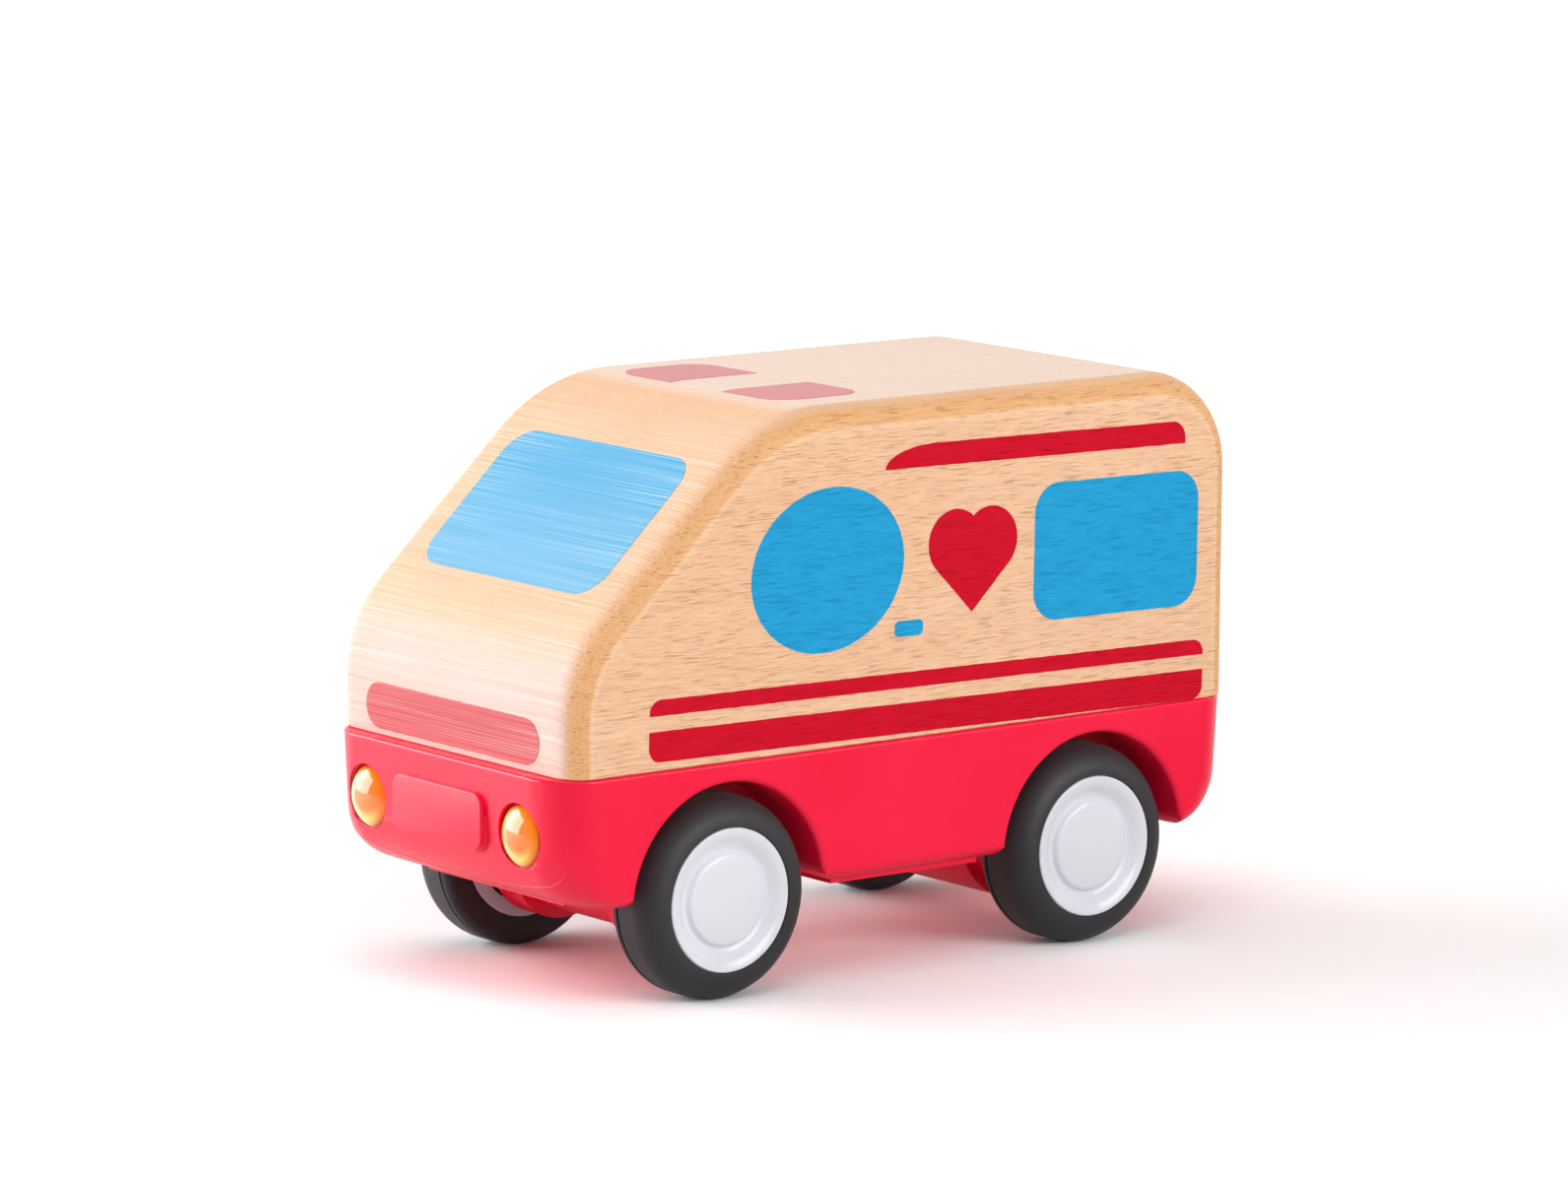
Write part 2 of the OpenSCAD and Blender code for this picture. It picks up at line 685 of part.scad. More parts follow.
// Ink on the block's front, windscreen or roof: the skin of the outline inside a prism of children
module skin_print() {
    intersection() {
        rotate([90, 0, 0]) linear_extrude(2 * body_half_w, center = true) difference() {
            polygon(block_points(-ink_t));
            polygon(block_points(0));
        }
        children();
    }
}

module windscreen_print() {
    r = windscreen_corner_r;
    middle = slope_head - slope_dir * (windscreen_l / 2 - windscreen_rise);
    color("deepskyblue") skin_print() translate([middle[0], 0, middle[1]])
        rotate([0, windscreen_slope, 0]) rotate([0, 0, 90]) linear_extrude(2 * cut, center = true)
        rounded_rect(windscreen_w, windscreen_l, [r, r, r, r]);
}

module grille_print() {
    r = grille_h / 2;
    color("crimson") skin_print() translate([body_front_x, 0, deck_z + grille_rise])
        rotate([90, 0, 90]) linear_extrude(2 * cut, center = true) {
            square([windscreen_w - grille_h, grille_h], center = true);
            for (s = [-1, 1]) translate([s * (windscreen_w - grille_h) / 2, 0])
                for (t = [-1, 1]) quarter_disc(r, s, t);
        }
}

module roof_lamp_prints() {
    r = roof_lamp_r;
    w = body_half_w * roof_lamp_w_share;
    y = body_half_w * roof_lamp_y_share + w / 2;
    color("crimson") for (s = [-1, 1]) skin_print()
        translate([brow_centre[0] + roof_lamp_reach - roof_lamp_l / 2, s * y, roof_z])
        linear_extrude(2 * cut, center = true)
        rounded_rect(roof_lamp_l, w, s > 0 ? [r, r, 0, 0] : [0, 0, r, r]);
}

// A point on the block's side, from shares of its length and height
function on_block(shares) = [body_rear_x + body_l * shares[0], deck_z + body_h * shares[1]];

// Ink on one side of the block, from outlines given in X and Z
module side_print(side) {
    pivot = on_block(print_pivot_shares);
    on_side(side) translate([0, body_half_w, 0]) upright(ink_t)
        translate(pivot) rotate([0, 0, print_tilt]) translate(-pivot) children();
}

module window_prints(side) {
    r = rear_window_r;
    color("deepskyblue") side_print(side) {
        translate(on_block(oval_shares)) rotate([0, 0, oval_turn])
            scale([body_l * oval_l_share, body_h * oval_h_share]) circle(d = 1);
        translate(on_block(rear_window_shares))
            rounded_rect(body_l * rear_window_l_share, body_h * rear_window_h_share, [r, r, r, r]);
    }
}

module handle_print(side) {
    h = body_h * handle_h_share;
    r = h * handle_r_share;
    color("deepskyblue") side_print(side) translate(on_block(handle_shares))
        rounded_rect(body_l * handle_l_share, h, [r, r, r, r]);
}

// Two lower stripes and an upper one whose front runs out in a curve
module stripe_prints(side) {
    wide_z = deck_z + stripe_foot_gap;
    narrow_z = wide_z + wide_stripe_h + stripe_gap;
    r = narrow_stripe_h * stripe_corner_share;
    color("crimson") side_print(side) {
        stripe(stripe_x_shares, wide_z, wide_stripe_h, [0, 0, r, r]);
        stripe(stripe_x_shares, narrow_z, narrow_stripe_h, [r, r, 0, 0]);
        difference() {
            tail_r = upper_stripe_h * upper_stripe_tail_share;
            nose_l = body_l * upper_stripe_nose_share;
            front = on_block([upper_stripe_x_shares[1], upper_stripe_z_share]);
            stripe(upper_stripe_x_shares, front[1], upper_stripe_h, [0, tail_r, 0, 0]);
            translate([front[0] - nose_l, front[1]]) difference() {
                square([nose_l + cut, upper_stripe_h + cut]);
                scale([nose_l, upper_stripe_h]) circle(1);
            }
        }
    }
}

// A stripe between two shares of the block's length, from its lower edge up
module stripe(x_shares, z, h, radii) {
    mid = body_rear_x + body_l * (x_shares[0] + x_shares[1]) / 2;
    translate([mid, z + h / 2]) rounded_rect(body_l * (x_shares[1] - x_shares[0]), h, radii);
}

// Plain heart: two round lobes over a point
module heart_print(side) {
    heart_w = body_l * heart_w_share;
    h = heart_w * heart_h_share;
    lobe_r = heart_w * heart_lobe_share;
    lobe = [heart_w / 2 - lobe_r, h / 2 - lobe_r];
    point = [0, -h / 2];
    reach = lobe - point;
    flank = atan2(reach[1], reach[0]) - asin(lobe_r / norm(reach));
    right = arc(lobe, lobe_r, flank - 90, acos(-lobe[0] / lobe_r), turn_steps);
    left = [for (i = [turn_steps - 1 : -1 : 0]) [-right[i][0], right[i][1]]];
    color("crimson") side_print(side) translate(on_block(heart_shares)) polygon(concat([point], right, left));
}

wooden_body();
chassis_shell();
base_plate();
headlamp(LEFT);  // headlamp_left
headlamp(RIGHT);  // headlamp_right
wood_screws();
base_screws();
axle(front_axle_x);  // front_axle
hub(front_axle_x, LEFT);  // front_hub_left
hub(front_axle_x, RIGHT);  // front_hub_right
tyre(front_axle_x, LEFT);  // front_tyre_left
tyre(front_axle_x, RIGHT);  // front_tyre_right
axle(rear_axle_x);  // rear_axle
hub(rear_axle_x, LEFT);  // rear_hub_left
hub(rear_axle_x, RIGHT);  // rear_hub_right
tyre(rear_axle_x, LEFT);  // rear_tyre_left
tyre(rear_axle_x, RIGHT);  // rear_tyre_right
windscreen_print();
grille_print();
roof_lamp_prints();
window_prints(LEFT);  // window_prints_left
window_prints(RIGHT);  // window_prints_right
handle_print(LEFT);  // handle_print_left
handle_print(RIGHT);  // handle_print_right
stripe_prints(LEFT);  // stripe_prints_left
stripe_prints(RIGHT);  // stripe_prints_right
heart_print(LEFT);  // heart_print_left
heart_print(RIGHT);  // heart_print_right
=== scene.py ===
import math

import bmesh
import bpy
from mathutils import Matrix, Vector, noise
from mathutils.bvhtree import BVHTree


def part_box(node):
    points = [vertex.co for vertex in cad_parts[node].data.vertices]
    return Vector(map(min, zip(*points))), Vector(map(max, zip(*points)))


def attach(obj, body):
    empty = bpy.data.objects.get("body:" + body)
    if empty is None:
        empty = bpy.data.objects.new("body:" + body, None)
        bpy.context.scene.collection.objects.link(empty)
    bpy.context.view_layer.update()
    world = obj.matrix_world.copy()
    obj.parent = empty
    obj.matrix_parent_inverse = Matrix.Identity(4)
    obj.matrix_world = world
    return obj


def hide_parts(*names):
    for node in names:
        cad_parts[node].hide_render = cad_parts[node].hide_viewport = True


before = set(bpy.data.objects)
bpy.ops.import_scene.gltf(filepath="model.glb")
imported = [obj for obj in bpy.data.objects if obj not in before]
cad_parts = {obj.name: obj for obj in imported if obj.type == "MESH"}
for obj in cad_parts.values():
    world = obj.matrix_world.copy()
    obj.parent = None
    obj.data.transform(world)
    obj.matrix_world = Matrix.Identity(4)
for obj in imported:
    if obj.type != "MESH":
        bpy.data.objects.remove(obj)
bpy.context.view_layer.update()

# The block: one piece of beech sawn to a van's outline, with a slanted windscreen.
# Its side edges are rounded over on a router table and the whole block is sanded, so the
# rounded edges show more open, darker grain and the front keeps fine marks of the belt.
MM = 0.001
QUARTER = math.pi / 2
block_lo, block_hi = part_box("wooden_body")
block_l = block_hi.x - block_lo.x
block_h = block_hi.z - block_lo.z
block_half_w = block_hi.y
screen_slope = math.radians(43.4)
bonnet_z = block_lo.z + 0.326 * block_h
nose_r = 0.405 * block_h
brow_r = 0.575 * block_h
tail_r = 0.3 * block_h
side_edge_r = 4 * MM
arris = 0.18 * MM
slope_run = Vector((-math.cos(screen_slope), 0, math.sin(screen_slope)))
slope_out = Vector((math.sin(screen_slope), 0, math.cos(screen_slope)))
bonnet = Vector((block_hi.x, 0, bonnet_z))
brow = bonnet + slope_run * (block_hi.z - bonnet_z) / math.sin(screen_slope)
nose_tangent = nose_r * math.tan((QUARTER - screen_slope) / 2)
brow_tangent = brow_r * math.tan(screen_slope / 2)
slope_foot = bonnet + slope_run * nose_tangent
slope_head = brow - slope_run * brow_tangent
nose_c = Vector((block_hi.x - nose_r, 0, bonnet_z - nose_tangent))
brow_c = Vector((brow.x - brow_tangent, 0, block_hi.z - brow_r))
tail_c = Vector((block_lo.x + tail_r, 0, block_hi.z - tail_r))


def steps_between(start, end, steps):
    return [start + (end - start) * i / steps for i in range(steps + 1)]


def arc(cx, cz, r, start, end, steps):
    return [(cx + r * math.cos(a), cz + r * math.sin(a)) for a in steps_between(start, end, steps)]


def block_outline(inset):
    foot_z = block_lo.z + arris
    return ([(block_lo.x + inset, foot_z), (block_hi.x - inset, foot_z)]
            + arc(nose_c.x, nose_c.z, nose_r - inset, 0, QUARTER - screen_slope, 18)
            + arc(brow_c.x, brow_c.z, brow_r - inset, QUARTER - screen_slope, QUARTER, 20)
            + arc(tail_c.x, tail_c.z, tail_r - inset, QUARTER, 2 * QUARTER, 24))


def new_piece(name, verts, faces, material, body, slot, sharp=40.0):
    mesh = bpy.data.meshes.new(name)
    mesh.from_pydata([tuple(v) for v in verts], [], faces)
    mesh.validate()
    outward = bmesh.new()
    outward.from_mesh(mesh)
    bmesh.ops.recalc_face_normals(outward, faces=outward.faces)
    outward.to_mesh(mesh)
    outward.free()
    mesh.shade_smooth()
    mesh.set_sharp_from_angle(angle=math.radians(sharp))
    mesh.materials.append(material)
    obj = bpy.data.objects.new(name, mesh)
    bpy.context.scene.collection.objects.link(obj)
    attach(obj, body)
    return obj


def skin(rings):
    m = len(rings[0])
    verts = [p for r in rings for p in r]
    faces = [(j * m + i, j * m + (i + 1) % m, (j + 1) * m + (i + 1) % m, (j + 1) * m + i)
             for j in range(len(rings) - 1) for i in range(m)]
    faces.append(tuple(range(m)))
    faces.append(tuple(range((len(rings) - 1) * m, len(rings) * m)))
    return verts, faces


def join(verts, faces, more_verts, more_faces):
    faces += [tuple(i + len(verts) for i in f) for f in more_faces]
    verts += more_verts


def add(tree, kind, sockets=None, **settings):
    node = tree.nodes.new("ShaderNode" + kind)
    for key, value in settings.items():
        setattr(node, key, value)
    for key, value in (sockets or {}).items():
        if isinstance(value, bpy.types.NodeSocket):
            tree.links.new(value, node.inputs[key])
        else:
            node.inputs[key].default_value = value
    return node


def blend_colour(tree, share, low, high):
    sockets = {0: share, 6: low, 7: high}
    return add(tree, "Mix", sockets, data_type="RGBA", blend_type="MIX", clamp_factor=True).outputs[2]


def maths(tree, how, a, b=0.0, clamp=False):
    return add(tree, "Math", {0: a, 1: b}, operation=how, use_clamp=clamp).outputs[0]


def times(tree, a, b):
    return maths(tree, "MULTIPLY", a, b)


def ramp(tree, value, low, high, to_low=0.0, to_high=1.0):
    sockets = {"Value": value, "From Min": low, "From Max": high, "To Min": to_low, "To Max": to_high}
    return add(tree, "MapRange", sockets, interpolation_type="SMOOTHSTEP").outputs[0]


def shade(*rgb):
    parts = [c / 255 for c in rgb]
    return tuple(c / 12.92 if c <= 0.04045 else ((c + 0.055) / 1.055) ** 2.4 for c in parts) + (1.0,)


def new_group(name, inputs, outputs):
    tree = bpy.data.node_groups.new(name, "ShaderNodeTree")
    for label, kind in inputs:
        tree.interface.new_socket(label, in_out="INPUT", socket_type=kind)
    for label in outputs:
        tree.interface.new_socket(label, in_out="OUTPUT", socket_type="NodeSocketFloat")
    return tree, tree.nodes.new("NodeGroupInput"), tree.nodes.new("NodeGroupOutput")


def stretched_noise(tree, place, stretch, detail=2.0, roughness=0.55, seed=0.0):
    moved = add(tree, "Mapping", {"Vector": place, "Scale": stretch, "Location": (seed, seed, seed)})
    sockets = {"Vector": moved.outputs[0], "Scale": 1.0, "Detail": detail, "Roughness": roughness}
    return add(tree, "TexNoise", sockets).outputs[0]


beech, beech_in, beech_out = new_group(
    "beech_grain",
    [("Place", "NodeSocketVector"), ("Front", "NodeSocketFloat"), ("Up", "NodeSocketFloat")],
    ("Tone", "Fleck", "Line", "Scratch", "Ray", "Height"))
front = beech_in.outputs["Front"]
up = beech_in.outputs["Up"]


def streaks(place, stretch, detail, seed, low, high):
    return ramp(beech, stretched_noise(beech, place, stretch, detail, 0.5, seed), low, high)


grain_sway = 0.7 * MM
sway = maths(beech, "SUBTRACT", stretched_noise(beech, beech_in.outputs["Place"], (80, 160, 170), 1.0), 0.5)
place_x, place_y, place_z = add(beech, "SeparateXYZ", {0: beech_in.outputs["Place"]}).outputs
wavy_z = maths(beech, "ADD", place_z, times(beech, sway, grain_sway))
grain_place = add(beech, "CombineXYZ", {0: place_x, 1: place_y, 2: wavy_z}).outputs[0]
fine_fleck = streaks(grain_place, (400, 2600, 7400), 2.0, 3.0, 0.48, 0.68)
long_fleck = streaks(grain_place, (260, 1800, 6400), 1.0, 11.0, 0.58, 0.68)
off_front = maths(beech, "SUBTRACT", 1.0, front, True)
off_roof = maths(beech, "SUBTRACT", 1.0, times(beech, up, 0.85))
fleck = maths(beech, "MAXIMUM", times(beech, fine_fleck, 0.45), long_fleck)
fleck = times(beech, fleck, times(beech, off_front, off_roof))
climb = maths(beech, "SUBTRACT", place_z, place_x)
belt_place = add(beech, "CombineXYZ", {0: climb, 1: place_y, 2: 0.0}).outputs[0]
across_belt = maths(beech, "MAXIMUM", front, times(beech, up, 0.25))
fine_line = streaks(belt_place, (7000, 14, 1), 1.0, 5.0, 0.5, 0.68)
wide_line = streaks(belt_place, (4300, 16, 1), 0.0, 8.0, 0.62, 0.74)
line = times(beech, maths(beech, "MAXIMUM", fine_line, wide_line), across_belt)
fine_scratch = streaks(belt_place, (8000, 16, 1), 1.0, 17.0, 0.5, 0.68)
wide_scratch = streaks(belt_place, (5200, 20, 1), 0.0, 41.0, 0.62, 0.74)
scratch = maths(beech, "MAXIMUM", times(beech, fine_scratch, 0.7), wide_scratch)
scratch = times(beech, scratch, across_belt)
ray = times(beech, streaks(belt_place, (45, 330, 1), 1.0, 31.0, 0.42, 0.62), front)
broad = stretched_noise(beech, grain_place, (16, 70, 90), 2.0, 0.5, 23.0)
fibre = streaks(grain_place, (110, 2200, 3800), 1.0, 29.0, 0.3, 0.7)
tone = maths(beech, "ADD", times(beech, broad, 0.6), times(beech, fibre, 0.4))
hollows = maths(beech, "ADD", fleck, maths(beech, "ADD", line, scratch))
relief = maths(beech, "SUBTRACT", times(beech, fibre, 0.3), times(beech, hollows, 0.8))
for label, value in (("Tone", tone), ("Fleck", fleck), ("Line", line), ("Scratch", scratch),
                     ("Ray", ray), ("Height", relief)):
    beech.links.new(value, beech_out.inputs[label])


def new_material(name):
    material = bpy.data.materials.new(name)
    material.use_nodes = True
    tree = material.node_tree
    tree.nodes.clear()
    surface = tree.nodes.new("ShaderNodeBsdfPrincipled")
    end = tree.nodes.new("ShaderNodeOutputMaterial")
    tree.links.new(surface.outputs[0], end.inputs[0])
    return material, tree, surface


def place_of(tree):
    return add(tree, "TexCoord").outputs["Object"]


def facing(tree):
    return add(tree, "SeparateXYZ", {0: add(tree, "NewGeometry").outputs["Normal"]}).outputs


def grain_in(tree):
    grain = tree.nodes.new("ShaderNodeGroup")
    grain.node_tree = beech
    tree.links.new(place_of(tree), grain.inputs["Place"])
    ahead, sideways, upward = facing(tree)
    flat = ramp(tree, maths(tree, "ABSOLUTE", sideways), 0.65, 0.15)
    end_on = ramp(tree, maths(tree, "ABSOLUTE", ahead), 0.2, 0.6)
    tree.links.new(times(tree, end_on, flat), grain.inputs["Front"])
    tree.links.new(ramp(tree, upward, 0.6, 0.95), grain.inputs["Up"])
    return grain.outputs


def bumped(tree, surface, height, depth, strength=1.0):
    bump = add(tree, "Bump", {"Height": height, "Distance": depth, "Strength": strength})
    tree.links.new(bump.outputs[0], surface.inputs["Normal"])


grain_depth = 0.03 * MM
heart_tone, sap_tone = shade(234, 182, 142), shade(250, 208, 170)
# The pale front tone is partly sanding dust and partly painted sheen; the pale roof tone is painted sheen from
# above.
front_dust_and_sheen_tone, roof_sheen_tone, ray_tone = shade(241, 207, 210), shade(249, 231, 219), shade(236, 196, 176)
end_grain_dark, end_grain_light = shade(226, 158, 94), shade(243, 189, 125)
# The pale tone of the line along the rounded edges is a painted highlight.
painted_highlight_tone, fleck_tone = shade(255, 226, 188), shade(170, 106, 62)
line_tone, scratch_tone = shade(204, 144, 98), shade(255, 236, 216)
sanded_beech, tree, surface = new_material("sanded_beech")
grain = grain_in(tree)
ahead, sideways, upward = facing(tree)
across = maths(tree, "ABSOLUTE", sideways)
rounded = times(tree, ramp(tree, across, 0.25, 0.8), ramp(tree, across, 0.998, 0.95))
# Painted highlight: a thin pale line on the outer part of each rounded edge, where the lamps shine on it.
painted_highlight_line = times(tree, ramp(tree, across, 0.955, 0.985), ramp(tree, across, 1.0, 0.992))
speckle = stretched_noise(tree, place_of(tree), (6400, 6400, 6400), 1.0, 0.6)
end_grain = blend_colour(tree, ramp(tree, speckle, 0.2, 0.8), end_grain_dark, end_grain_light)
wood = blend_colour(tree, grain["Tone"], heart_tone, sap_tone)
# Front faces paler: partly sanding dust, partly painted sheen of the strong light on the front.
wood = blend_colour(tree, times(tree, ramp(tree, ahead, 0.75, 1.0), 0.7), wood, front_dust_and_sheen_tone)
# Painted sheen: the roof is made paler where the light from above falls on it.
wood = blend_colour(tree, ramp(tree, upward, 0.96, 1.0, 0.0, 0.75), wood, roof_sheen_tone)
wood = blend_colour(tree, times(tree, grain["Ray"], 0.22), wood, ray_tone)
wood = blend_colour(tree, times(tree, rounded, 0.75), wood, end_grain)
wood = blend_colour(tree, times(tree, painted_highlight_line, 0.22), wood, painted_highlight_tone)
wood = blend_colour(tree, times(tree, grain["Fleck"], 0.54), wood, fleck_tone)
wood = blend_colour(tree, times(tree, grain["Line"], 0.34), wood, line_tone)
wood = blend_colour(tree, times(tree, grain["Scratch"], 0.5), wood, scratch_tone)
tree.links.new(wood, surface.inputs["Base Color"])
tree.links.new(ramp(tree, grain["Tone"], 0.2, 0.8, 0.46, 0.56), surface.inputs["Roughness"])
tree.links.new(ramp(tree, upward, 0.88, 0.99, 0.3, 0.02), surface.inputs["Specular IOR Level"])
bumped(tree, surface, grain["Height"], grain_depth, 0.8)

side_border = 1.2 * MM
half_rings = [(side_edge_r + side_border, block_half_w)]
half_rings += [(side_edge_r * (1 - math.sin(a)), block_half_w - side_edge_r * (1 - math.cos(a)))
               for a in steps_between(0, QUARTER, 14)]
block_rings = [[(x, y, z) for x, z in block_outline(inset)] for inset, y in half_rings]
block_rings += [[(x, -y, z) for x, z in block_outline(inset)] for inset, y in reversed(half_rings)]
verts, faces = skin(block_rings)
foot_r = side_edge_r - 0.35 * MM
corner_front, corner_rear = block_hi.x - side_edge_r, block_lo.x + side_edge_r
corner_y = block_half_w - side_edge_r
plan = []
for turn, (x, y) in enumerate(((corner_front, corner_y), (corner_rear, corner_y),
                               (corner_rear, -corner_y), (corner_front, -corner_y))):
    plan += arc(x, y, foot_r, turn * QUARTER, (turn + 1) * QUARTER, 8)
join(verts, faces, *skin([[(x, y, z) for x, y in plan] for z in (block_lo.z, block_lo.z + 2 * arris)]))
block = new_piece("beech_block", verts, faces, sanded_beech, "body", "beech")
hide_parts("wooden_body")

# Printed ink: flat colours pad-printed on the sanded wood in one pass for each colour.
# The film is too thin to fill the grain, so flecks and belt marks show through, and its edges
# follow the fibres a little.
ink_lift = 0.05 * MM
ink_sink = 0.03 * MM
fray_depth = 0.045 * MM
fray_step = 0.3 * MM


def ink_material(name, colour, worn, scratch_and_sheen_tone):
    material, tree, surface = new_material(name)
    grain = grain_in(tree)
    ahead, _, upward = facing(tree)
    in_pores = tuple(0.45 * c for c in colour[:3]) + (1.0,)
    patchy = stretched_noise(tree, place_of(tree), (240, 500, 700), 3.0, 0.6)
    ink = blend_colour(tree, ramp(tree, patchy, 0.3, 0.7, 0.0, 0.35), colour, worn)
    ink = blend_colour(tree, times(tree, grain["Fleck"], 0.5), ink, in_pores)
    height = add(tree, "SeparateXYZ", {0: place_of(tree)}).outputs[2]
    # Painted sheen: on the front, more towards its foot, and on the roof, the ink is mixed towards its pale tone
    # where the light falls.
    sheen_by_height = ramp(tree, height, slope_head.z, slope_foot.z, 0.2, 0.4)
    front_sheen_share = times(tree, ramp(tree, ahead, 0.25, 0.6), sheen_by_height)
    roof_sheen_share = ramp(tree, upward, 0.85, 0.97, 0.0, 0.9)
    ink = blend_colour(tree, maths(tree, "MAXIMUM", front_sheen_share, roof_sheen_share), ink, scratch_and_sheen_tone)
    ink = blend_colour(tree, times(tree, grain["Line"], 0.45), ink, colour)
    ink = blend_colour(tree, times(tree, grain["Scratch"], 0.75), ink, scratch_and_sheen_tone)
    tree.links.new(ink, surface.inputs["Base Color"])
    tree.links.new(ramp(tree, patchy, 0.2, 0.8, 0.42, 0.55), surface.inputs["Roughness"])
    tree.links.new(ramp(tree, upward, 0.88, 0.99, 0.1, 0.02), surface.inputs["Specular IOR Level"])
    bumped(tree, surface, grain["Height"], grain_depth, 0.8)
    return material


# The third colour is the pale tone of the scratches and also of the painted sheen.
blue_ink = ink_material("blue_ink", shade(32, 160, 214), shade(44, 166, 218), shade(190, 224, 240))
red_ink = ink_material("red_ink", shade(210, 2, 36), shade(216, 12, 46), shade(228, 164, 166))


def along(points, step):
    out = []
    for (ax, az), (bx, bz) in zip(points, points[1:] + points[:1]):
        n = max(1, round(math.hypot(bx - ax, bz - az) / step))
        out += [(ax + (bx - ax) * i / n, az + (bz - az) * i / n) for i in range(n)]
    return out


def frayed(points):
    points = along(points, fray_step)
    out = []
    for i, (x, z) in enumerate(points):
        px, pz = points[i - 1]
        nx, nz = points[(i + 1) % len(points)]
        run = math.hypot(nx - px, nz - pz) or 1.0
        push = fray_depth * noise.noise(Vector((x * 900, z * 2600, 0.5)))
        out.append((x + push * (nz - pz) / run, z - push * (nx - px) / run))
    return out


def soft_rect(cx, cz, l, h, radii):
    out = []
    corners = ((1, 1), (-1, 1), (-1, -1), (1, -1))
    for turn, ((sx, sz), r) in enumerate(zip(corners, radii)):
        x, z = cx + sx * (l / 2 - r), cz + sz * (h / 2 - r)
        out += arc(x, z, r, turn * QUARTER, (turn + 1) * QUARTER, 10) if r else [(x, z)]
    return out


def ink_film(name, outlines, put, material, slot, node):
    verts, faces = [], []
    for outline in outlines:
        outline = frayed(outline)
        first, n = len(verts), len(outline)
        verts += [put(u, v, ink_lift) for u, v in outline] + [put(u, v, -ink_sink) for u, v in outline]
        faces.append(tuple(range(first, first + n)))
        faces.append(tuple(range(first + 2 * n - 1, first + n - 1, -1)))
        faces += [(first + i, first + n + i, first + n + (i + 1) % n, first + (i + 1) % n) for i in range(n)]
    film = new_piece(name, verts, faces, material, "body", slot)
    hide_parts(node)


# The side prints: an oval window and a rounded one in blue with a small blue handle, and in
# red two stripes along the sill, one under the roof, and a heart between the windows.
# They were printed with a slight nose-up tilt, the same on both sides.
print_tilt = math.radians(0.7)
pivot_x = block_lo.x + 0.432 * block_l
pivot_z = block_lo.z - 0.081 * block_h


def turned(u, v, angle):
    return u * math.cos(angle) - v * math.sin(angle), u * math.sin(angle) + v * math.cos(angle)


def spot(share_l, share_h):
    return block_lo.x + share_l * block_l, block_lo.z + share_h * block_h


def on_side(side):
    def put(x, z, lift):
        dx, dz = turned(x - pivot_x, z - pivot_z, print_tilt)
        return (pivot_x + dx, side * (block_half_w + lift), pivot_z + dz)
    return put


oval_x, oval_z = spot(0.6325, 0.519)
oval_l, oval_h, oval_turn = 0.228 * block_l, 0.48 * block_h, math.radians(-11.2)
oval = []
for a in steps_between(0, 2 * math.pi, 160)[:-1]:
    u, v = turned(oval_l / 2 * math.cos(a), oval_h / 2 * math.sin(a), oval_turn)
    oval.append((oval_x + u, oval_z + v))
rear_window = soft_rect(*spot(0.19, 0.5075), 0.258 * block_l, 0.411 * block_h, (4.2 * MM,) * 4)
handle_h = 0.047 * block_h
handle = soft_rect(*spot(0.5095, 0.324), 0.043 * block_l, handle_h, (0.36 * handle_h,) * 4)
stripe_tail, stripe_nose = 0.0475 * block_l, 0.8907 * block_l
stripe_l = stripe_nose - stripe_tail
stripe_x = block_lo.x + (stripe_nose + stripe_tail) / 2
wide_h, narrow_h, upper_h = 4.2 * MM, 2.2 * MM, 3.2 * MM
stripe_r = 0.86 * narrow_h
wide_stripe = soft_rect(stripe_x, block_lo.z + 2.7 * MM, stripe_l, wide_h, (0, 0, stripe_r, stripe_r))
narrow_stripe = soft_rect(stripe_x, block_lo.z + 8.0 * MM, stripe_l, narrow_h, (stripe_r, stripe_r, 0, 0))
upper_tail_x, upper_z = spot(0.0845, 0.795)
upper_nose_l = 0.0775 * block_l
upper_nose_x = block_lo.x + 0.5495 * block_l - upper_nose_l
upper_r = 0.75 * upper_h
upper_stripe = [(upper_nose_x + upper_nose_l * math.cos(a), upper_z + upper_h * math.sin(a))
                for a in steps_between(0, QUARTER, 16)]
upper_stripe += arc(upper_tail_x + upper_r, upper_z + upper_h - upper_r, upper_r, QUARTER, math.pi, 8)
upper_stripe += [(upper_tail_x, upper_z)]
heart_x, heart_z = spot(0.414, 0.5075)
heart_w = 0.136 * block_l
heart_h = 0.92 * heart_w
lobe_r = 0.302 * heart_w
lobe_u, lobe_v = heart_w / 2 - lobe_r, heart_h / 2 - lobe_r
tip_to_lobe = lobe_v + heart_h / 2
flank = math.atan2(tip_to_lobe, lobe_u) - math.asin(lobe_r / math.hypot(lobe_u, tip_to_lobe))
right_lobe = arc(lobe_u, lobe_v, lobe_r, flank - QUARTER, math.acos(-lobe_u / lobe_r), 30)
heart = [(0, -heart_h / 2)] + right_lobe + [(-u, v) for u, v in reversed(right_lobe[:-1])]
heart = [(heart_x + u, heart_z + v) for u, v in heart]
stripes = [wide_stripe, narrow_stripe, upper_stripe]
for side, name in ((1, "left"), (-1, "right")):
    put = on_side(side)
    ink_film("window_ink_" + name, [oval, rear_window], put, blue_ink, "blue_ink", "window_prints_" + name)
    ink_film("handle_ink_" + name, [handle], put, blue_ink, "blue_ink", "handle_print_" + name)
    ink_film("stripe_ink_" + name, stripes, put, red_ink, "red_ink", "stripe_prints_" + name)
    ink_film("heart_ink_" + name, [heart], put, red_ink, "red_ink", "heart_print_" + name)

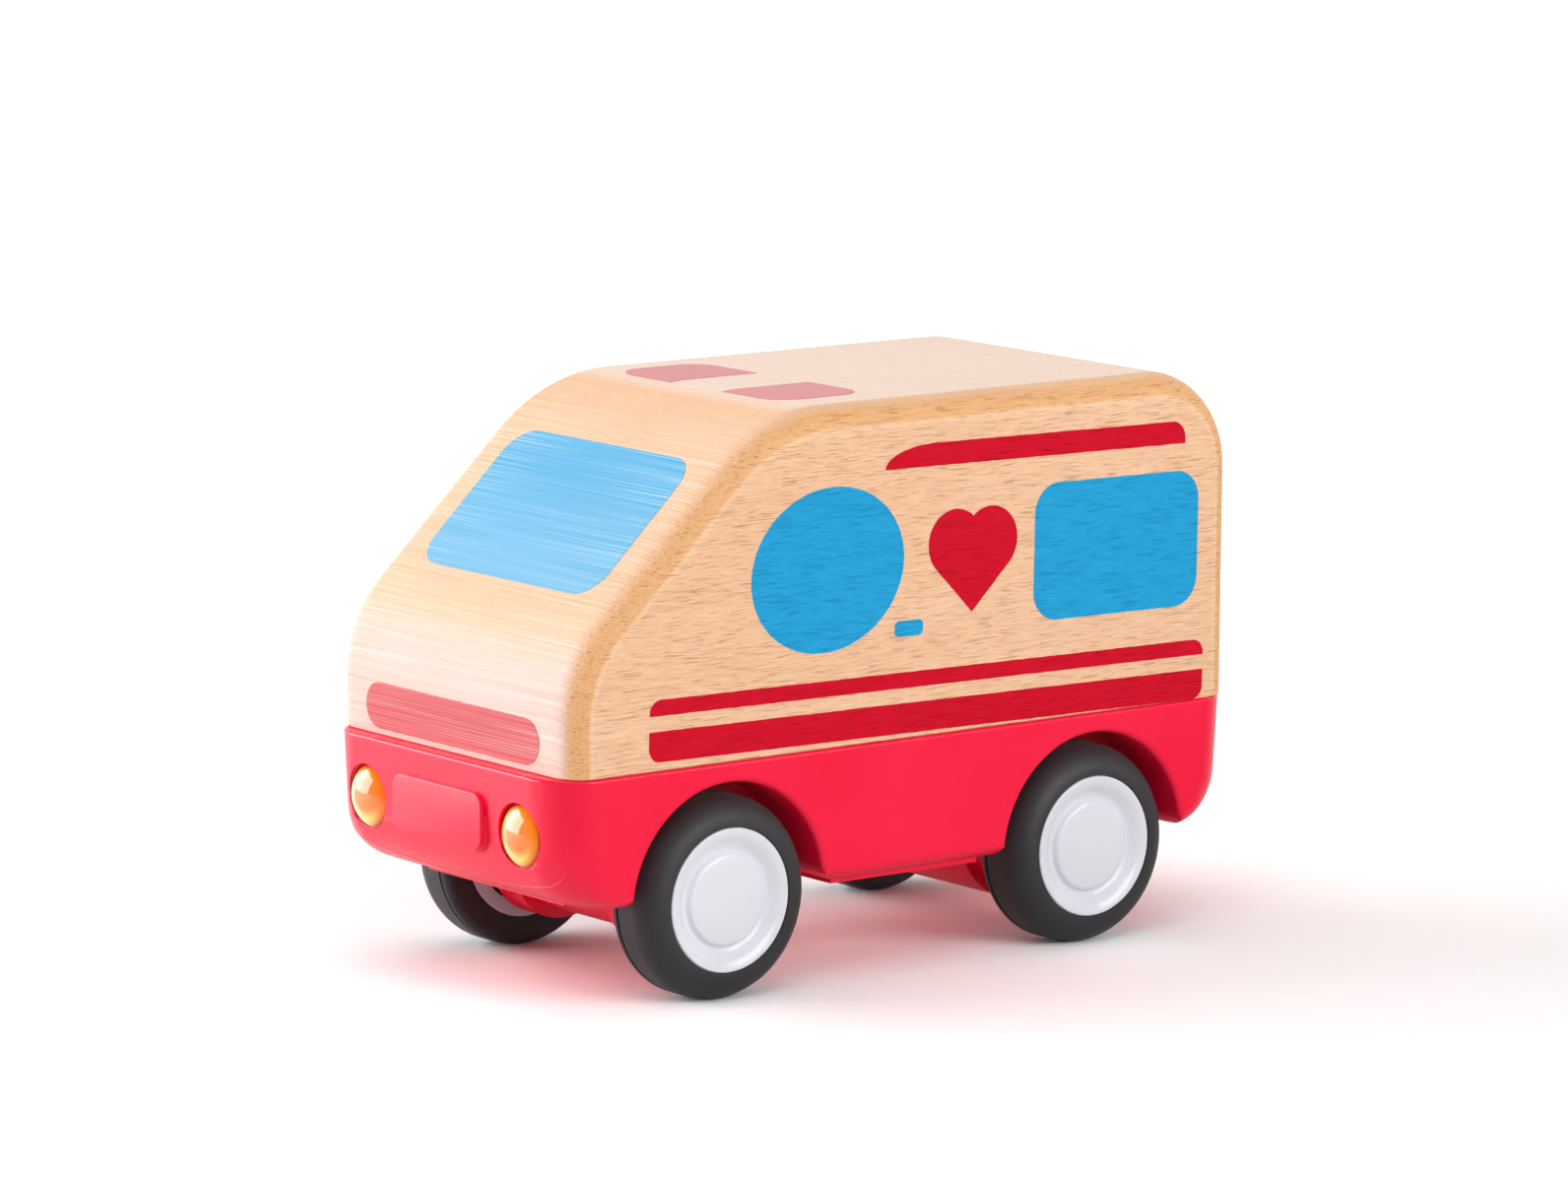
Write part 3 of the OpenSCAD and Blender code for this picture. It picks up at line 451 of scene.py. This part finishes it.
# The front prints: a blue windscreen on the slope, a red grille bar above the deck, and two red
# lamps on the roof that run a little over the start of the brow.
# The roof lamps are laid on the wood in rows, so that they bend with the surface under them.
screen_w = 2 * block_half_w * 0.733
screen_l = (slope_head - slope_foot).length * 0.909
screen_top = slope_head + slope_run * 0.75 * MM
screen = soft_rect(0, 0, screen_w, screen_l, (4.5 * MM,) * 4)
grille_h = 6.4 * MM
grille = soft_rect(0, block_lo.z + 4.1 * MM, screen_w, grille_h, (grille_h / 2 - 0.01 * MM,) * 4)


def on_slope(u, v, lift):
    p = screen_top - slope_run * (screen_l / 2 - v) + slope_out * lift
    return (p.x, u, p.z)


def on_front(u, v, lift):
    return (block_hi.x + lift, u, v)


ink_film("windscreen_ink", [screen], on_slope, blue_ink, "blue_ink", "windscreen_print")
ink_film("grille_ink", [grille], on_front, red_ink, "red_ink", "grille_print")
lamp_front = brow_c.x + 3 * MM
lamp_l, lamp_w, lamp_r = 15.2 * MM, 0.483 * block_half_w, 4.5 * MM
lamp_inner = 0.212 * block_half_w
lamp_fray = 0.04 * MM
rows = 64
verts, faces = [], []
for side in (1, -1):
    first = len(verts)
    for x in steps_between(lamp_front, lamp_front - lamp_l, rows):
        over = max(0.0, x - brow_c.x)
        z = brow_c.z + math.sqrt(brow_r ** 2 - over ** 2)
        end_gap = min(lamp_front - x, x - lamp_front + lamp_l)
        round_off = lamp_r - math.sqrt(max(0.0, lamp_r ** 2 - max(0.0, lamp_r - end_gap) ** 2))
        fray = lamp_fray * noise.noise(Vector((x * 2600, side, 0.3)))
        edges = (lamp_inner + fray, lamp_inner + lamp_w - round_off + fray)
        verts += [(x, side * y, z + lift) for y in edges for lift in (ink_lift, -ink_sink)]
    for i in range(rows):
        a, b = first + 4 * i, first + 4 * (i + 1)
        faces += [(a, a + 2, b + 2, b), (a + 3, a + 1, b + 1, b + 3),
                  (a + 1, a, b, b + 1), (a + 2, a + 3, b + 3, b + 2)]
    last = first + 4 * rows
    faces += [(first, first + 1, first + 3, first + 2), (last + 1, last, last + 2, last + 3)]
roof_lamps = new_piece("roof_lamp_ink", verts, faces, red_ink, "body", "red_ink")
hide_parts("roof_lamp_prints")

# The chassis: one red moulding under the block, with four wheel wells, a blank raised plate and two
# lamp sockets in its front. It is satin, with the fine bloom of a spark-eroded mould, and its lower
# front shows the faint line where two parts of the mould met.
moulded, moulded_in, moulded_out = new_group(
    "moulded_skin", [("Place", "NodeSocketVector")], ("Bloom", "Height"))
grit = stretched_noise(moulded, moulded_in.outputs["Place"], (3200, 3200, 3200), 2.0, 0.6)
cloud = stretched_noise(moulded, moulded_in.outputs["Place"], (60, 60, 60), 1.0, 0.4, 7.0)
moulded.links.new(cloud, moulded_out.inputs["Bloom"])
moulded.links.new(grit, moulded_out.inputs["Height"])


def moulded_plastic(name, deep, bright, rough_low, rough_high, depth):
    material, tree, surface = new_material(name)
    mould = tree.nodes.new("ShaderNodeGroup")
    mould.node_tree = moulded
    tree.links.new(place_of(tree), mould.inputs["Place"])
    bloom = mould.outputs["Bloom"]
    colour = blend_colour(tree, ramp(tree, bloom, 0.1, 0.9), deep, bright)
    tree.links.new(colour, surface.inputs["Base Color"])
    tree.links.new(ramp(tree, bloom, 0.1, 0.9, rough_low, rough_high), surface.inputs["Roughness"])
    bumped(tree, surface, mould.outputs["Height"], depth)
    return material, surface


red_plastic, surface = moulded_plastic("red_plastic", shade(250, 1, 56), shade(255, 2, 62), 0.27, 0.34, 0.006 * MM)
surface.inputs["Specular IOR Level"].default_value = 0.62
moulded_sharp = 32.0


def smooth_copy(name, node, material, body, slot):
    weld = bmesh.new()
    weld.from_mesh(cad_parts[node].data)
    bmesh.ops.remove_doubles(weld, verts=weld.verts, dist=0.002 * MM)
    bmesh.ops.dissolve_degenerate(weld, edges=weld.edges, dist=0.001 * MM)
    verts = [v.co.copy() for v in weld.verts]
    weld.verts.index_update()
    faces = [tuple(v.index for v in f.verts) for f in weld.faces]
    weld.free()
    piece = new_piece(name, verts, faces, material, body, slot, moulded_sharp)
    piece.modifiers.new("even_faces", "WEIGHTED_NORMAL").keep_sharp = True
    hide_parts(node)
    return piece


def settle(piece):
    ready = bpy.data.meshes.new_from_object(piece.evaluated_get(bpy.context.evaluated_depsgraph_get()))
    piece.modifiers.clear()
    piece.data = ready
    flat = bmesh.new()
    flat.from_mesh(ready)
    bmesh.ops.remove_doubles(flat, verts=flat.verts, dist=0.02 * MM)
    bmesh.ops.dissolve_degenerate(flat, edges=flat.edges, dist=0.01 * MM)
    bmesh.ops.dissolve_limit(flat, angle_limit=math.radians(0.5), verts=flat.verts, edges=flat.edges)
    flat.to_mesh(ready)
    flat.free()
    ready.shade_smooth()
    ready.set_sharp_from_angle(angle=math.radians(moulded_sharp))


def lathe(profile, steps, put):
    turns = [2 * math.pi * i / steps for i in range(steps)]
    return skin([[put(r * math.cos(a), r * math.sin(a), t) for a in turns] for r, t in profile])


chassis = smooth_copy("chassis_moulding", "chassis_shell", red_plastic, "body", "red_plastic")
chassis_lo, chassis_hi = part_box("chassis_shell")
well_r = 16.13 * MM
well_y = 17.6 * MM
well_core = 0.5 * MM
lip_r = 1.0 * MM
lip_end = well_r + lip_r + 0.5 * MM
outside_y = chassis_hi.y + 3 * MM
well = [(well_core, well_y), (well_r, well_y)]
well += [(well_r + lip_r * (1 - math.cos(a)), chassis_hi.y - lip_r * (1 - math.sin(a)))
         for a in steps_between(0, QUARTER, 8)]
well += [(lip_end, chassis_hi.y + 0.05 * MM), (lip_end, outside_y), (well_core, outside_y)]
verts, faces = [], []
for node in ("front_tyre_left", "rear_tyre_left"):
    lo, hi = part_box(node)
    for side in (1, -1):
        def in_well(u, v, t):
            return ((lo.x + hi.x) / 2 + u, side * t, (lo.z + hi.z) / 2 + v)

        join(verts, faces, *lathe(well, 180, in_well))
wells = new_piece("well_cutter", verts, faces, red_plastic, "body", "red_plastic")
carve = chassis.modifiers.new("wells", "BOOLEAN")
carve.object = wells
carve.solver = "EXACT"
chassis.modifiers.move(1, 0)
settle(chassis)
bpy.data.objects.remove(wells)
chassis.modifiers.new("even_faces", "WEIGHTED_NORMAL").keep_sharp = True

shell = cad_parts["chassis_shell"].data
front_skin = BVHTree.FromPolygons([v.co for v in shell.vertices], [tuple(q.vertices) for q in shell.polygons])


def front_at(y, z):
    return front_skin.ray_cast(Vector((chassis_hi.x + 10 * MM, y, z)), Vector((-1, 0, 0)))[:2]


def bead(name, path, half_w, rise):
    sink, fade_steps, sides = 0.01 * MM, 8, 10
    rings = []
    spots = [front_at(y, z) for y, z in path]
    last = len(spots) - 1
    for i, (here, normal) in enumerate(spots):
        run = (spots[min(i + 1, last)][0] - spots[max(i - 1, 0)][0]).normalized()
        across = normal.cross(run).normalized()
        fade = min(1.0, min(i, last - i) / fade_steps)
        rings.append([here + across * half_w * math.cos(a) + normal * (rise * fade * math.sin(a) - sink)
                      for a in (2 * math.pi * k / sides for k in range(sides))])
    new_piece(name, *skin(rings), red_plastic, "body", "red_plastic")


half_line = [(0, 16.25), (6, 16.35), (12, 16.75), (17, 17.3), (21, 17.95),
             (22.6, 18.35), (23.8, 18.95), (24.55, 19.75), (24.95, 20.7), (25.05, 22.2)]
knots = [(-y, z) for y, z in reversed(half_line[1:])] + half_line
mould_line = []
for i in range(len(knots) - 1):
    quad = [knots[max(0, min(len(knots) - 1, i + k))] for k in (-1, 0, 1, 2)]
    for t in (k / 8 for k in range(8)):
        mould_line.append(tuple(
            MM * 0.5 * (2 * b + (c - a) * t + (2 * a - 5 * b + 4 * c - d) * t * t + (3 * b - a - 3 * c + d) * t ** 3)
            for a, b, c, d in zip(*quad)))
bead("mould_line", mould_line, 0.13 * MM, 0.09 * MM)

pad_w, pad_h, pad_r, pad_rise = 19.8 * MM, 7.2 * MM, 1.6 * MM, 0.9 * MM
pad_z = chassis_hi.z - 7.9 * MM
pad_x = front_at(0, pad_z)[0].x - pad_rise + 0.04 * MM
pad_rings = []
for border, rise in ((0.42, -0.1), (0.42, 0.66), (0.39, 0.78), (0.31, 0.87), (0.19, 0.9)):
    border, rise = border * MM, rise * MM
    outline = soft_rect(0, pad_z, pad_w + 2 * border, pad_h + 2 * border, (pad_r + border,) * 4)
    pad_rings.append([(pad_x + rise, y, z) for y, z in outline])
new_piece("blank_plate", *skin(pad_rings), red_plastic, "body", "red_plastic", 60)

# The base: a second red moulding that closes the chassis from below and carries both axles in its
# housings. Four small screws hold it.
smooth_copy("base_moulding", "base_plate", red_plastic, "body", "red_plastic")

# Screws and axles: turned steel, zinc plated. The screws pull the block and the base to the chassis,
# and the axles run in the base.
steel, tree, surface = new_material("plated_steel")
drawn = stretched_noise(tree, place_of(tree), (900, 60, 900), 3.0, 0.7)
zinc = blend_colour(tree, drawn, shade(176, 178, 182), shade(214, 214, 216))
tree.links.new(zinc, surface.inputs["Base Color"])
tree.links.new(ramp(tree, drawn, 0.2, 0.8, 0.22, 0.42), surface.inputs["Roughness"])
surface.inputs["Metallic"].default_value = 1.0
bumped(tree, surface, drawn, 0.004 * MM)
for node in ("wood_screws", "base_screws", "front_axle", "rear_axle"):
    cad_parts[node].data.materials.clear()
    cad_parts[node].data.materials.append(steel)

# The headlamps: two domed lenses of clear amber plastic on a low rim, each with a stem behind it.
# They are pushed into sockets in the bumper. Their darker rim (painted shade) and glowing lower side (painted glow)
# are painted into the lens colour, and the lens gives off a faint amber light of its own.
lens_amber, tree, surface = new_material("amber_lens")
surface.inputs["Coat Weight"].default_value = 1.0
surface.inputs["Coat IOR"].default_value = 1.6
surface.inputs["Coat Roughness"].default_value = 0.03
surface.inputs["Specular IOR Level"].default_value = 0.3
# Painted glow: the lens gives off a faint light in its own colour.
surface.inputs["Emission Strength"].default_value = 0.16
lens_r, lamp_y, lamp_z = 4.3 * MM, 17.6 * MM, 24.6 * MM
_, place_y, place_z = add(tree, "SeparateXYZ", {0: place_of(tree)}).outputs
out_y = maths(tree, "SUBTRACT", place_y, times(tree, maths(tree, "SIGN", place_y), lamp_y))
out_z = maths(tree, "SUBTRACT", place_z, lamp_z)


def from_point(y, z):
    gap_y = maths(tree, "SUBTRACT", out_y, y * lens_r)
    gap_z = maths(tree, "SUBTRACT", out_z, z * lens_r)
    gap = add(tree, "CombineXYZ", {0: gap_y, 1: gap_z, 2: 0.0}).outputs[0]
    return maths(tree, "DIVIDE", add(tree, "VectorMath", {0: gap}, operation="LENGTH").outputs["Value"], lens_r)


# Painted glow and shade: a pale yellow crescent low on one side, a deeper orange edge and a dark rim.
amber = blend_colour(tree, ramp(tree, from_point(0.26, 0.1), 0.45, 0.82), shade(252, 134, 58), shade(255, 224, 112))
amber = blend_colour(tree, ramp(tree, from_point(-0.1, -0.06), 0.72, 0.98), amber, shade(248, 128, 24))
amber = blend_colour(tree, ramp(tree, from_point(0.0, 0.0), 0.9, 0.99), amber, shade(186, 70, 6))
tree.links.new(amber, surface.inputs["Base Color"])
tree.links.new(amber, surface.inputs["Emission Color"])
haze = stretched_noise(tree, place_of(tree), (300, 300, 300), 2.0)
tree.links.new(ramp(tree, haze, 0.2, 0.8, 0.08, 0.16), surface.inputs["Roughness"])
stem_r, rim_h, dome_h = 2 * MM, 0.35 * MM, 2 * MM
dome_steps = 24
for name in ("left", "right"):
    lo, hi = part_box("headlamp_" + name)
    cy, cz = (lo.y + hi.y) / 2, (lo.z + hi.z) / 2
    lens_r = (hi.z - lo.z) / 2
    dome_r = (lens_r ** 2 + dome_h ** 2) / (2 * dome_h)
    seat_x = hi.x - dome_h - 0.9 * MM
    rim_x = seat_x + rim_h
    dome_c = rim_x + dome_h - dome_r
    profile = [(stem_r, lo.x), (stem_r, seat_x), (lens_r, seat_x), (lens_r, rim_x)]
    profile += [(dome_r * math.sin(a), dome_c + dome_r * math.cos(a))
                for a in steps_between(math.asin(lens_r / dome_r), 0, dome_steps)[1:-1]]
    profile += [(0.01 * MM, dome_c + dome_r)]

    def in_socket(u, v, t):
        return (t, cy + u, cz + v)

    lens = new_piece("headlamp_lens_" + name, *lathe(profile, 96, in_socket), lens_amber, "body", "amber_lens")
    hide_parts("headlamp_" + name)

# The wheels: a white hub moulded with a crowned centre in a dished ring, and a soft black tyre
# stretched over it. Each pair of hubs is pressed on one axle and turns with it.
white_plastic, surface = moulded_plastic(
    "white_plastic", shade(224, 224, 231), shade(230, 230, 237), 0.15, 0.22, 0.001 * MM)
black_rubber, surface = moulded_plastic(
    "black_rubber", shade(44, 42, 44), shade(52, 50, 53), 0.48, 0.58, 0.01 * MM)
surface.inputs["Sheen Weight"].default_value = 0.08
rim_r = 10 * MM
flange = 0.9 * MM
shoulder = 3.813 * MM
inner_edge_r = 1.2 * MM
cap_r = 6.2 * MM
axle_r = 1.5 * MM
boss_r = 3.2 * MM
dish_y = -3.3 * MM
rib_inner, rib_outer, rib_half_w = 2.6 * MM, rim_r - 1.9 * MM, 0.6 * MM
rib_front, rib_back = -3.1 * MM, -6.3 * MM
box_faces = ((0, 1, 3, 2), (4, 6, 7, 5), (0, 4, 5, 1), (2, 3, 7, 6), (0, 2, 6, 4), (1, 5, 7, 3))


def eased(corners, steps=6):
    out = []
    for i, (r, t, ease) in enumerate(corners):
        here = Vector((r, t))
        if not ease:
            out.append((r, t))
            continue
        back = Vector(corners[i - 1][:2]) - here
        ahead = Vector(corners[i + 1][:2]) - here
        cut = min(ease, 0.45 * back.length, 0.45 * ahead.length)
        a, b = here + back.normalized() * cut, here + ahead.normalized() * cut
        for s in steps_between(0, 1, steps):
            p = a * (1 - s) ** 2 + here * 2 * s * (1 - s) + b * s * s
            out.append((p.x, p.y))
    return out


def tyre_profile(tread_r, width):
    seam = 1.6 * MM - width
    seat_r = rim_r - 0.75 * MM
    bead_r = rim_r + 0.05 * MM
    groove = [(0.0, 0.24), (0.08, 0.18), (0.45, 0.12), (0.45, -0.12), (0.08, -0.18), (0.0, -0.24)]
    ring = [(seat_r, flange - width), (seat_r, -flange), (bead_r, -flange), (bead_r, -0.12 * MM),
            (rim_r + 0.15 * MM, 0.0)]
    ring += [(tread_r - shoulder + shoulder * math.sin(a), -shoulder + shoulder * math.cos(a))
             for a in steps_between(0, QUARTER, 20)]
    ring += [(tread_r - depth * MM, seam + t * MM) for depth, t in groove]
    ring += [(tread_r - inner_edge_r * (1 - math.cos(a)), inner_edge_r * (1 - math.sin(a)) - width)
             for a in steps_between(0, QUARTER, 10)]
    ring += [(bead_r, -width), (bead_r, flange - width)]
    return ring + ring[:1]


def hub_profile(width, boss_y):
    crown = [(0.02 * MM + (cap_r - 0.5 * MM) * i / 14, (0.5 * (1 - (i / 15.2) ** 2) - 0.7) * MM, 0)
             for i in range(15)]
    dished_ring = [
        (cap_r, -0.74 * MM, 0.5 * MM), (cap_r + 0.4 * MM, -1.5 * MM, 0.4 * MM),
        (cap_r + 1.1 * MM, -1.3 * MM, 0.7 * MM), (rim_r - 1.3 * MM, -0.25 * MM, 0.8 * MM),
        (rim_r - 0.05 * MM, 0.0, 0.5 * MM)]
    tyre_seat = [
        (rim_r, -flange, 0), (rim_r - 0.8 * MM, -flange, 0),
        (rim_r - 0.8 * MM, flange - width, 0), (rim_r, flange - width, 0)]
    hollow_back = [
        (rim_r, -width, 0.2 * MM), (rim_r - 2.2 * MM, -width, 0.2 * MM),
        (rim_r - 2.2 * MM, dish_y, 0.4 * MM), (boss_r, dish_y, 0.3 * MM)]
    boss = [(boss_r, boss_y, 0.2 * MM), (axle_r, boss_y, 0), (axle_r, boss_y + 1.0 * MM, 0)]
    return eased(crown + dished_ring + tyre_seat + hollow_back + boss)


for end in ("front", "rear"):
    for side, name in ((1, "left"), (-1, "right")):
        lo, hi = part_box("%s_tyre_%s" % (end, name))
        cx, cz = (lo.x + hi.x) / 2, (lo.z + hi.z) / 2
        face_y = max(abs(lo.y), abs(hi.y))
        width = hi.y - lo.y

        def on_wheel(u, v, t):
            return (cx + u, side * (face_y + t), cz + v)

        verts, faces = lathe(tyre_profile((hi.z - lo.z) / 2, width), 160, on_wheel)
        rubber = new_piece("%s_tyre_ring_%s" % (end, name), verts, faces, black_rubber,
                           end + "_wheelset", "black_rubber", 50)
        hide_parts("%s_tyre_%s" % (end, name))

        lo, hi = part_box("%s_hub_%s" % (end, name))
        boss_y = min(abs(lo.y), abs(hi.y)) - face_y
        verts, faces = lathe(hub_profile(width, boss_y), 144, on_wheel)
        for a in (math.pi / 3 * k for k in range(6)):
            rib = [on_wheel(*turned(r, w, a), t) for r in (rib_inner, rib_outer)
                   for t in (rib_front, rib_back) for w in (-rib_half_w, rib_half_w)]
            join(verts, faces, rib, box_faces)
        hub = new_piece("%s_wheel_hub_%s" % (end, name), verts, faces, white_plastic,
                        end + "_wheelset", "white_plastic", 38)
        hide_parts("%s_hub_%s" % (end, name))

# The studio: a white table with a white wall behind it. Soft lights stand on the far side of the
# bonnet and behind the doors, with two weaker ones above. In reflections the table is painted dark on the camera
# side, so the corner that faces the lens reflects little; for the lens the table far off glows and is as white as
# paper.
floor_white, tree, surface = new_material("white_table")
paper = stretched_noise(tree, place_of(tree), (700, 700, 700), 2.0)
matte = blend_colour(tree, paper, (0.76, 0.76, 0.76, 1.0), (0.8, 0.8, 0.8, 1.0))
tree.links.new(matte, surface.inputs["Base Color"])
surface.inputs["Roughness"].default_value = 0.7
surface.inputs["Specular IOR Level"].default_value = 0.1
grit = ramp(tree, stretched_noise(tree, place_of(tree), (1900, 1900, 1900), 2.0, 0.8, 2.0), 0.3, 0.7)
seen_white = blend_colour(tree, grit, (1.08, 1.06, 1.06, 1.0), (1.25, 1.22, 1.22, 1.0))
seen = add(tree, "BsdfDiffuse", {"Color": seen_white})
far_off = add(tree, "VectorMath", {0: place_of(tree)}, operation="LENGTH").outputs["Value"]
paper_white = add(tree, "Emission", {"Color": (1.0, 1.0, 1.0, 1.0), "Strength": ramp(tree, far_off, 0.16, 0.7)})
both = add(tree, "AddShader", {0: seen.outputs[0], 1: paper_white.outputs[0]})
# Painted shade and light in reflections: in glossy rays the table is dark on the camera side and brighter than white
# on the far side.
near_lens = ramp(tree, add(tree, "SeparateXYZ", {0: place_of(tree)}).outputs[1], -0.1, 0.1)
painted_reflection_tone = blend_colour(tree, near_lens, (1.3, 1.3, 1.3, 1.0), (0.07, 0.07, 0.07, 1.0))
painted_reflection = add(tree, "BsdfDiffuse", {"Color": painted_reflection_tone})
path = add(tree, "LightPath").outputs
unseen = add(tree, "MixShader", {0: path["Is Glossy Ray"], 1: surface.outputs[0], 2: painted_reflection.outputs[0]})
mixed = add(tree, "MixShader", {0: path["Is Camera Ray"], 1: unseen.outputs[0], 2: both.outputs[0]})
tree.links.new(mixed.outputs[0], next(n for n in tree.nodes if n.type == "OUTPUT_MATERIAL").inputs[0])
table_half = 6
table = bpy.data.meshes.new("table")
table.from_pydata([(x * table_half, y * table_half, 0) for x, y in ((-1, -1), (1, -1), (1, 1), (-1, 1))],
                  [], [(0, 1, 2, 3)])
table.materials.append(floor_white)
table = bpy.data.objects.new("table", table)
bpy.context.scene.collection.objects.link(table)

world = bpy.data.worlds.new("studio")
world.use_nodes = True
sky = world.node_tree
toward = add(sky, "TexCoord").outputs["Generated"]
wall_at = (-0.62, -0.78, 0.0)
to_wall = add(sky, "VectorMath", {0: toward, 1: wall_at}, operation="DOT_PRODUCT").outputs["Value"]
low_sky = ramp(sky, add(sky, "SeparateXYZ", {0: toward}).outputs[2], 0.75, 0.1)
wall = times(sky, ramp(sky, to_wall, -0.1, 0.7), low_sky)
glow = maths(sky, "ADD", times(sky, wall, 1.4), 0.03)
sky.nodes["Background"].inputs["Color"].default_value = (1.0, 1.0, 1.0, 1.0)
sky.links.new(glow, sky.nodes["Background"].inputs["Strength"])
bpy.context.scene.world = world
bpy.context.scene.view_settings.view_transform = "Standard"
aimed_at = Vector((0, 0, 0.04))
for name, toward, reach, width, height, power in (
        ("bonnet_softbox", (0.66, -0.69, 0.30), 1.2, 1.3, 0.8, 17.0),
        ("door_softbox", (-0.25, 0.93, 0.34), 1.2, 0.9, 0.6, 8.7),
        ("overhead_softbox", (0.0, -0.15, 0.98), 1.3, 1.0, 1.0, 4.0),
        ("high_softbox", (0.45, 0.50, 0.75), 1.3, 1.0, 1.0, 6.0)):
    light = bpy.data.lights.new(name, "AREA")
    light.shape = "RECTANGLE"
    light.size, light.size_y, light.energy = width, height, power
    lamp = bpy.data.objects.new(name, light)
    lamp.visible_camera = False
    lamp.visible_glossy = name != "high_softbox"
    lamp.location = Vector(toward).normalized() * reach + aimed_at
    lamp.rotation_euler = (-Vector(toward)).to_track_quat("-Z", "Y").to_euler()
    bpy.context.scene.collection.objects.link(lamp)

camera_at = Vector((631.2, 802.8, 216.3)) * MM
azimuth, elevation, roll = math.radians(51.83), math.radians(9.255), math.radians(0.4565)
focal_pixels, frame_pixels, sensor_w = 7525.2, 1592.0, 36.0
level_run = math.cos(elevation)
back = Vector((math.cos(azimuth) * level_run, math.sin(azimuth) * level_run, math.sin(elevation)))
level = (-back).cross(Vector((0, 0, 1))).normalized()
upright = level.cross(-back)
camera_x = level * math.cos(roll) + upright * math.sin(roll)
camera_y = upright * math.cos(roll) - level * math.sin(roll)
lens_data = bpy.data.cameras.new("camera")
lens_data.sensor_width = sensor_w
lens_data.lens = focal_pixels * sensor_w / frame_pixels
lens_data.clip_end = 20.0
camera = bpy.data.objects.new("camera", lens_data)
camera.matrix_world = Matrix.Translation(camera_at) @ Matrix((camera_x, camera_y, back)).transposed().to_4x4()
bpy.context.scene.collection.objects.link(camera)
bpy.context.scene.camera = camera
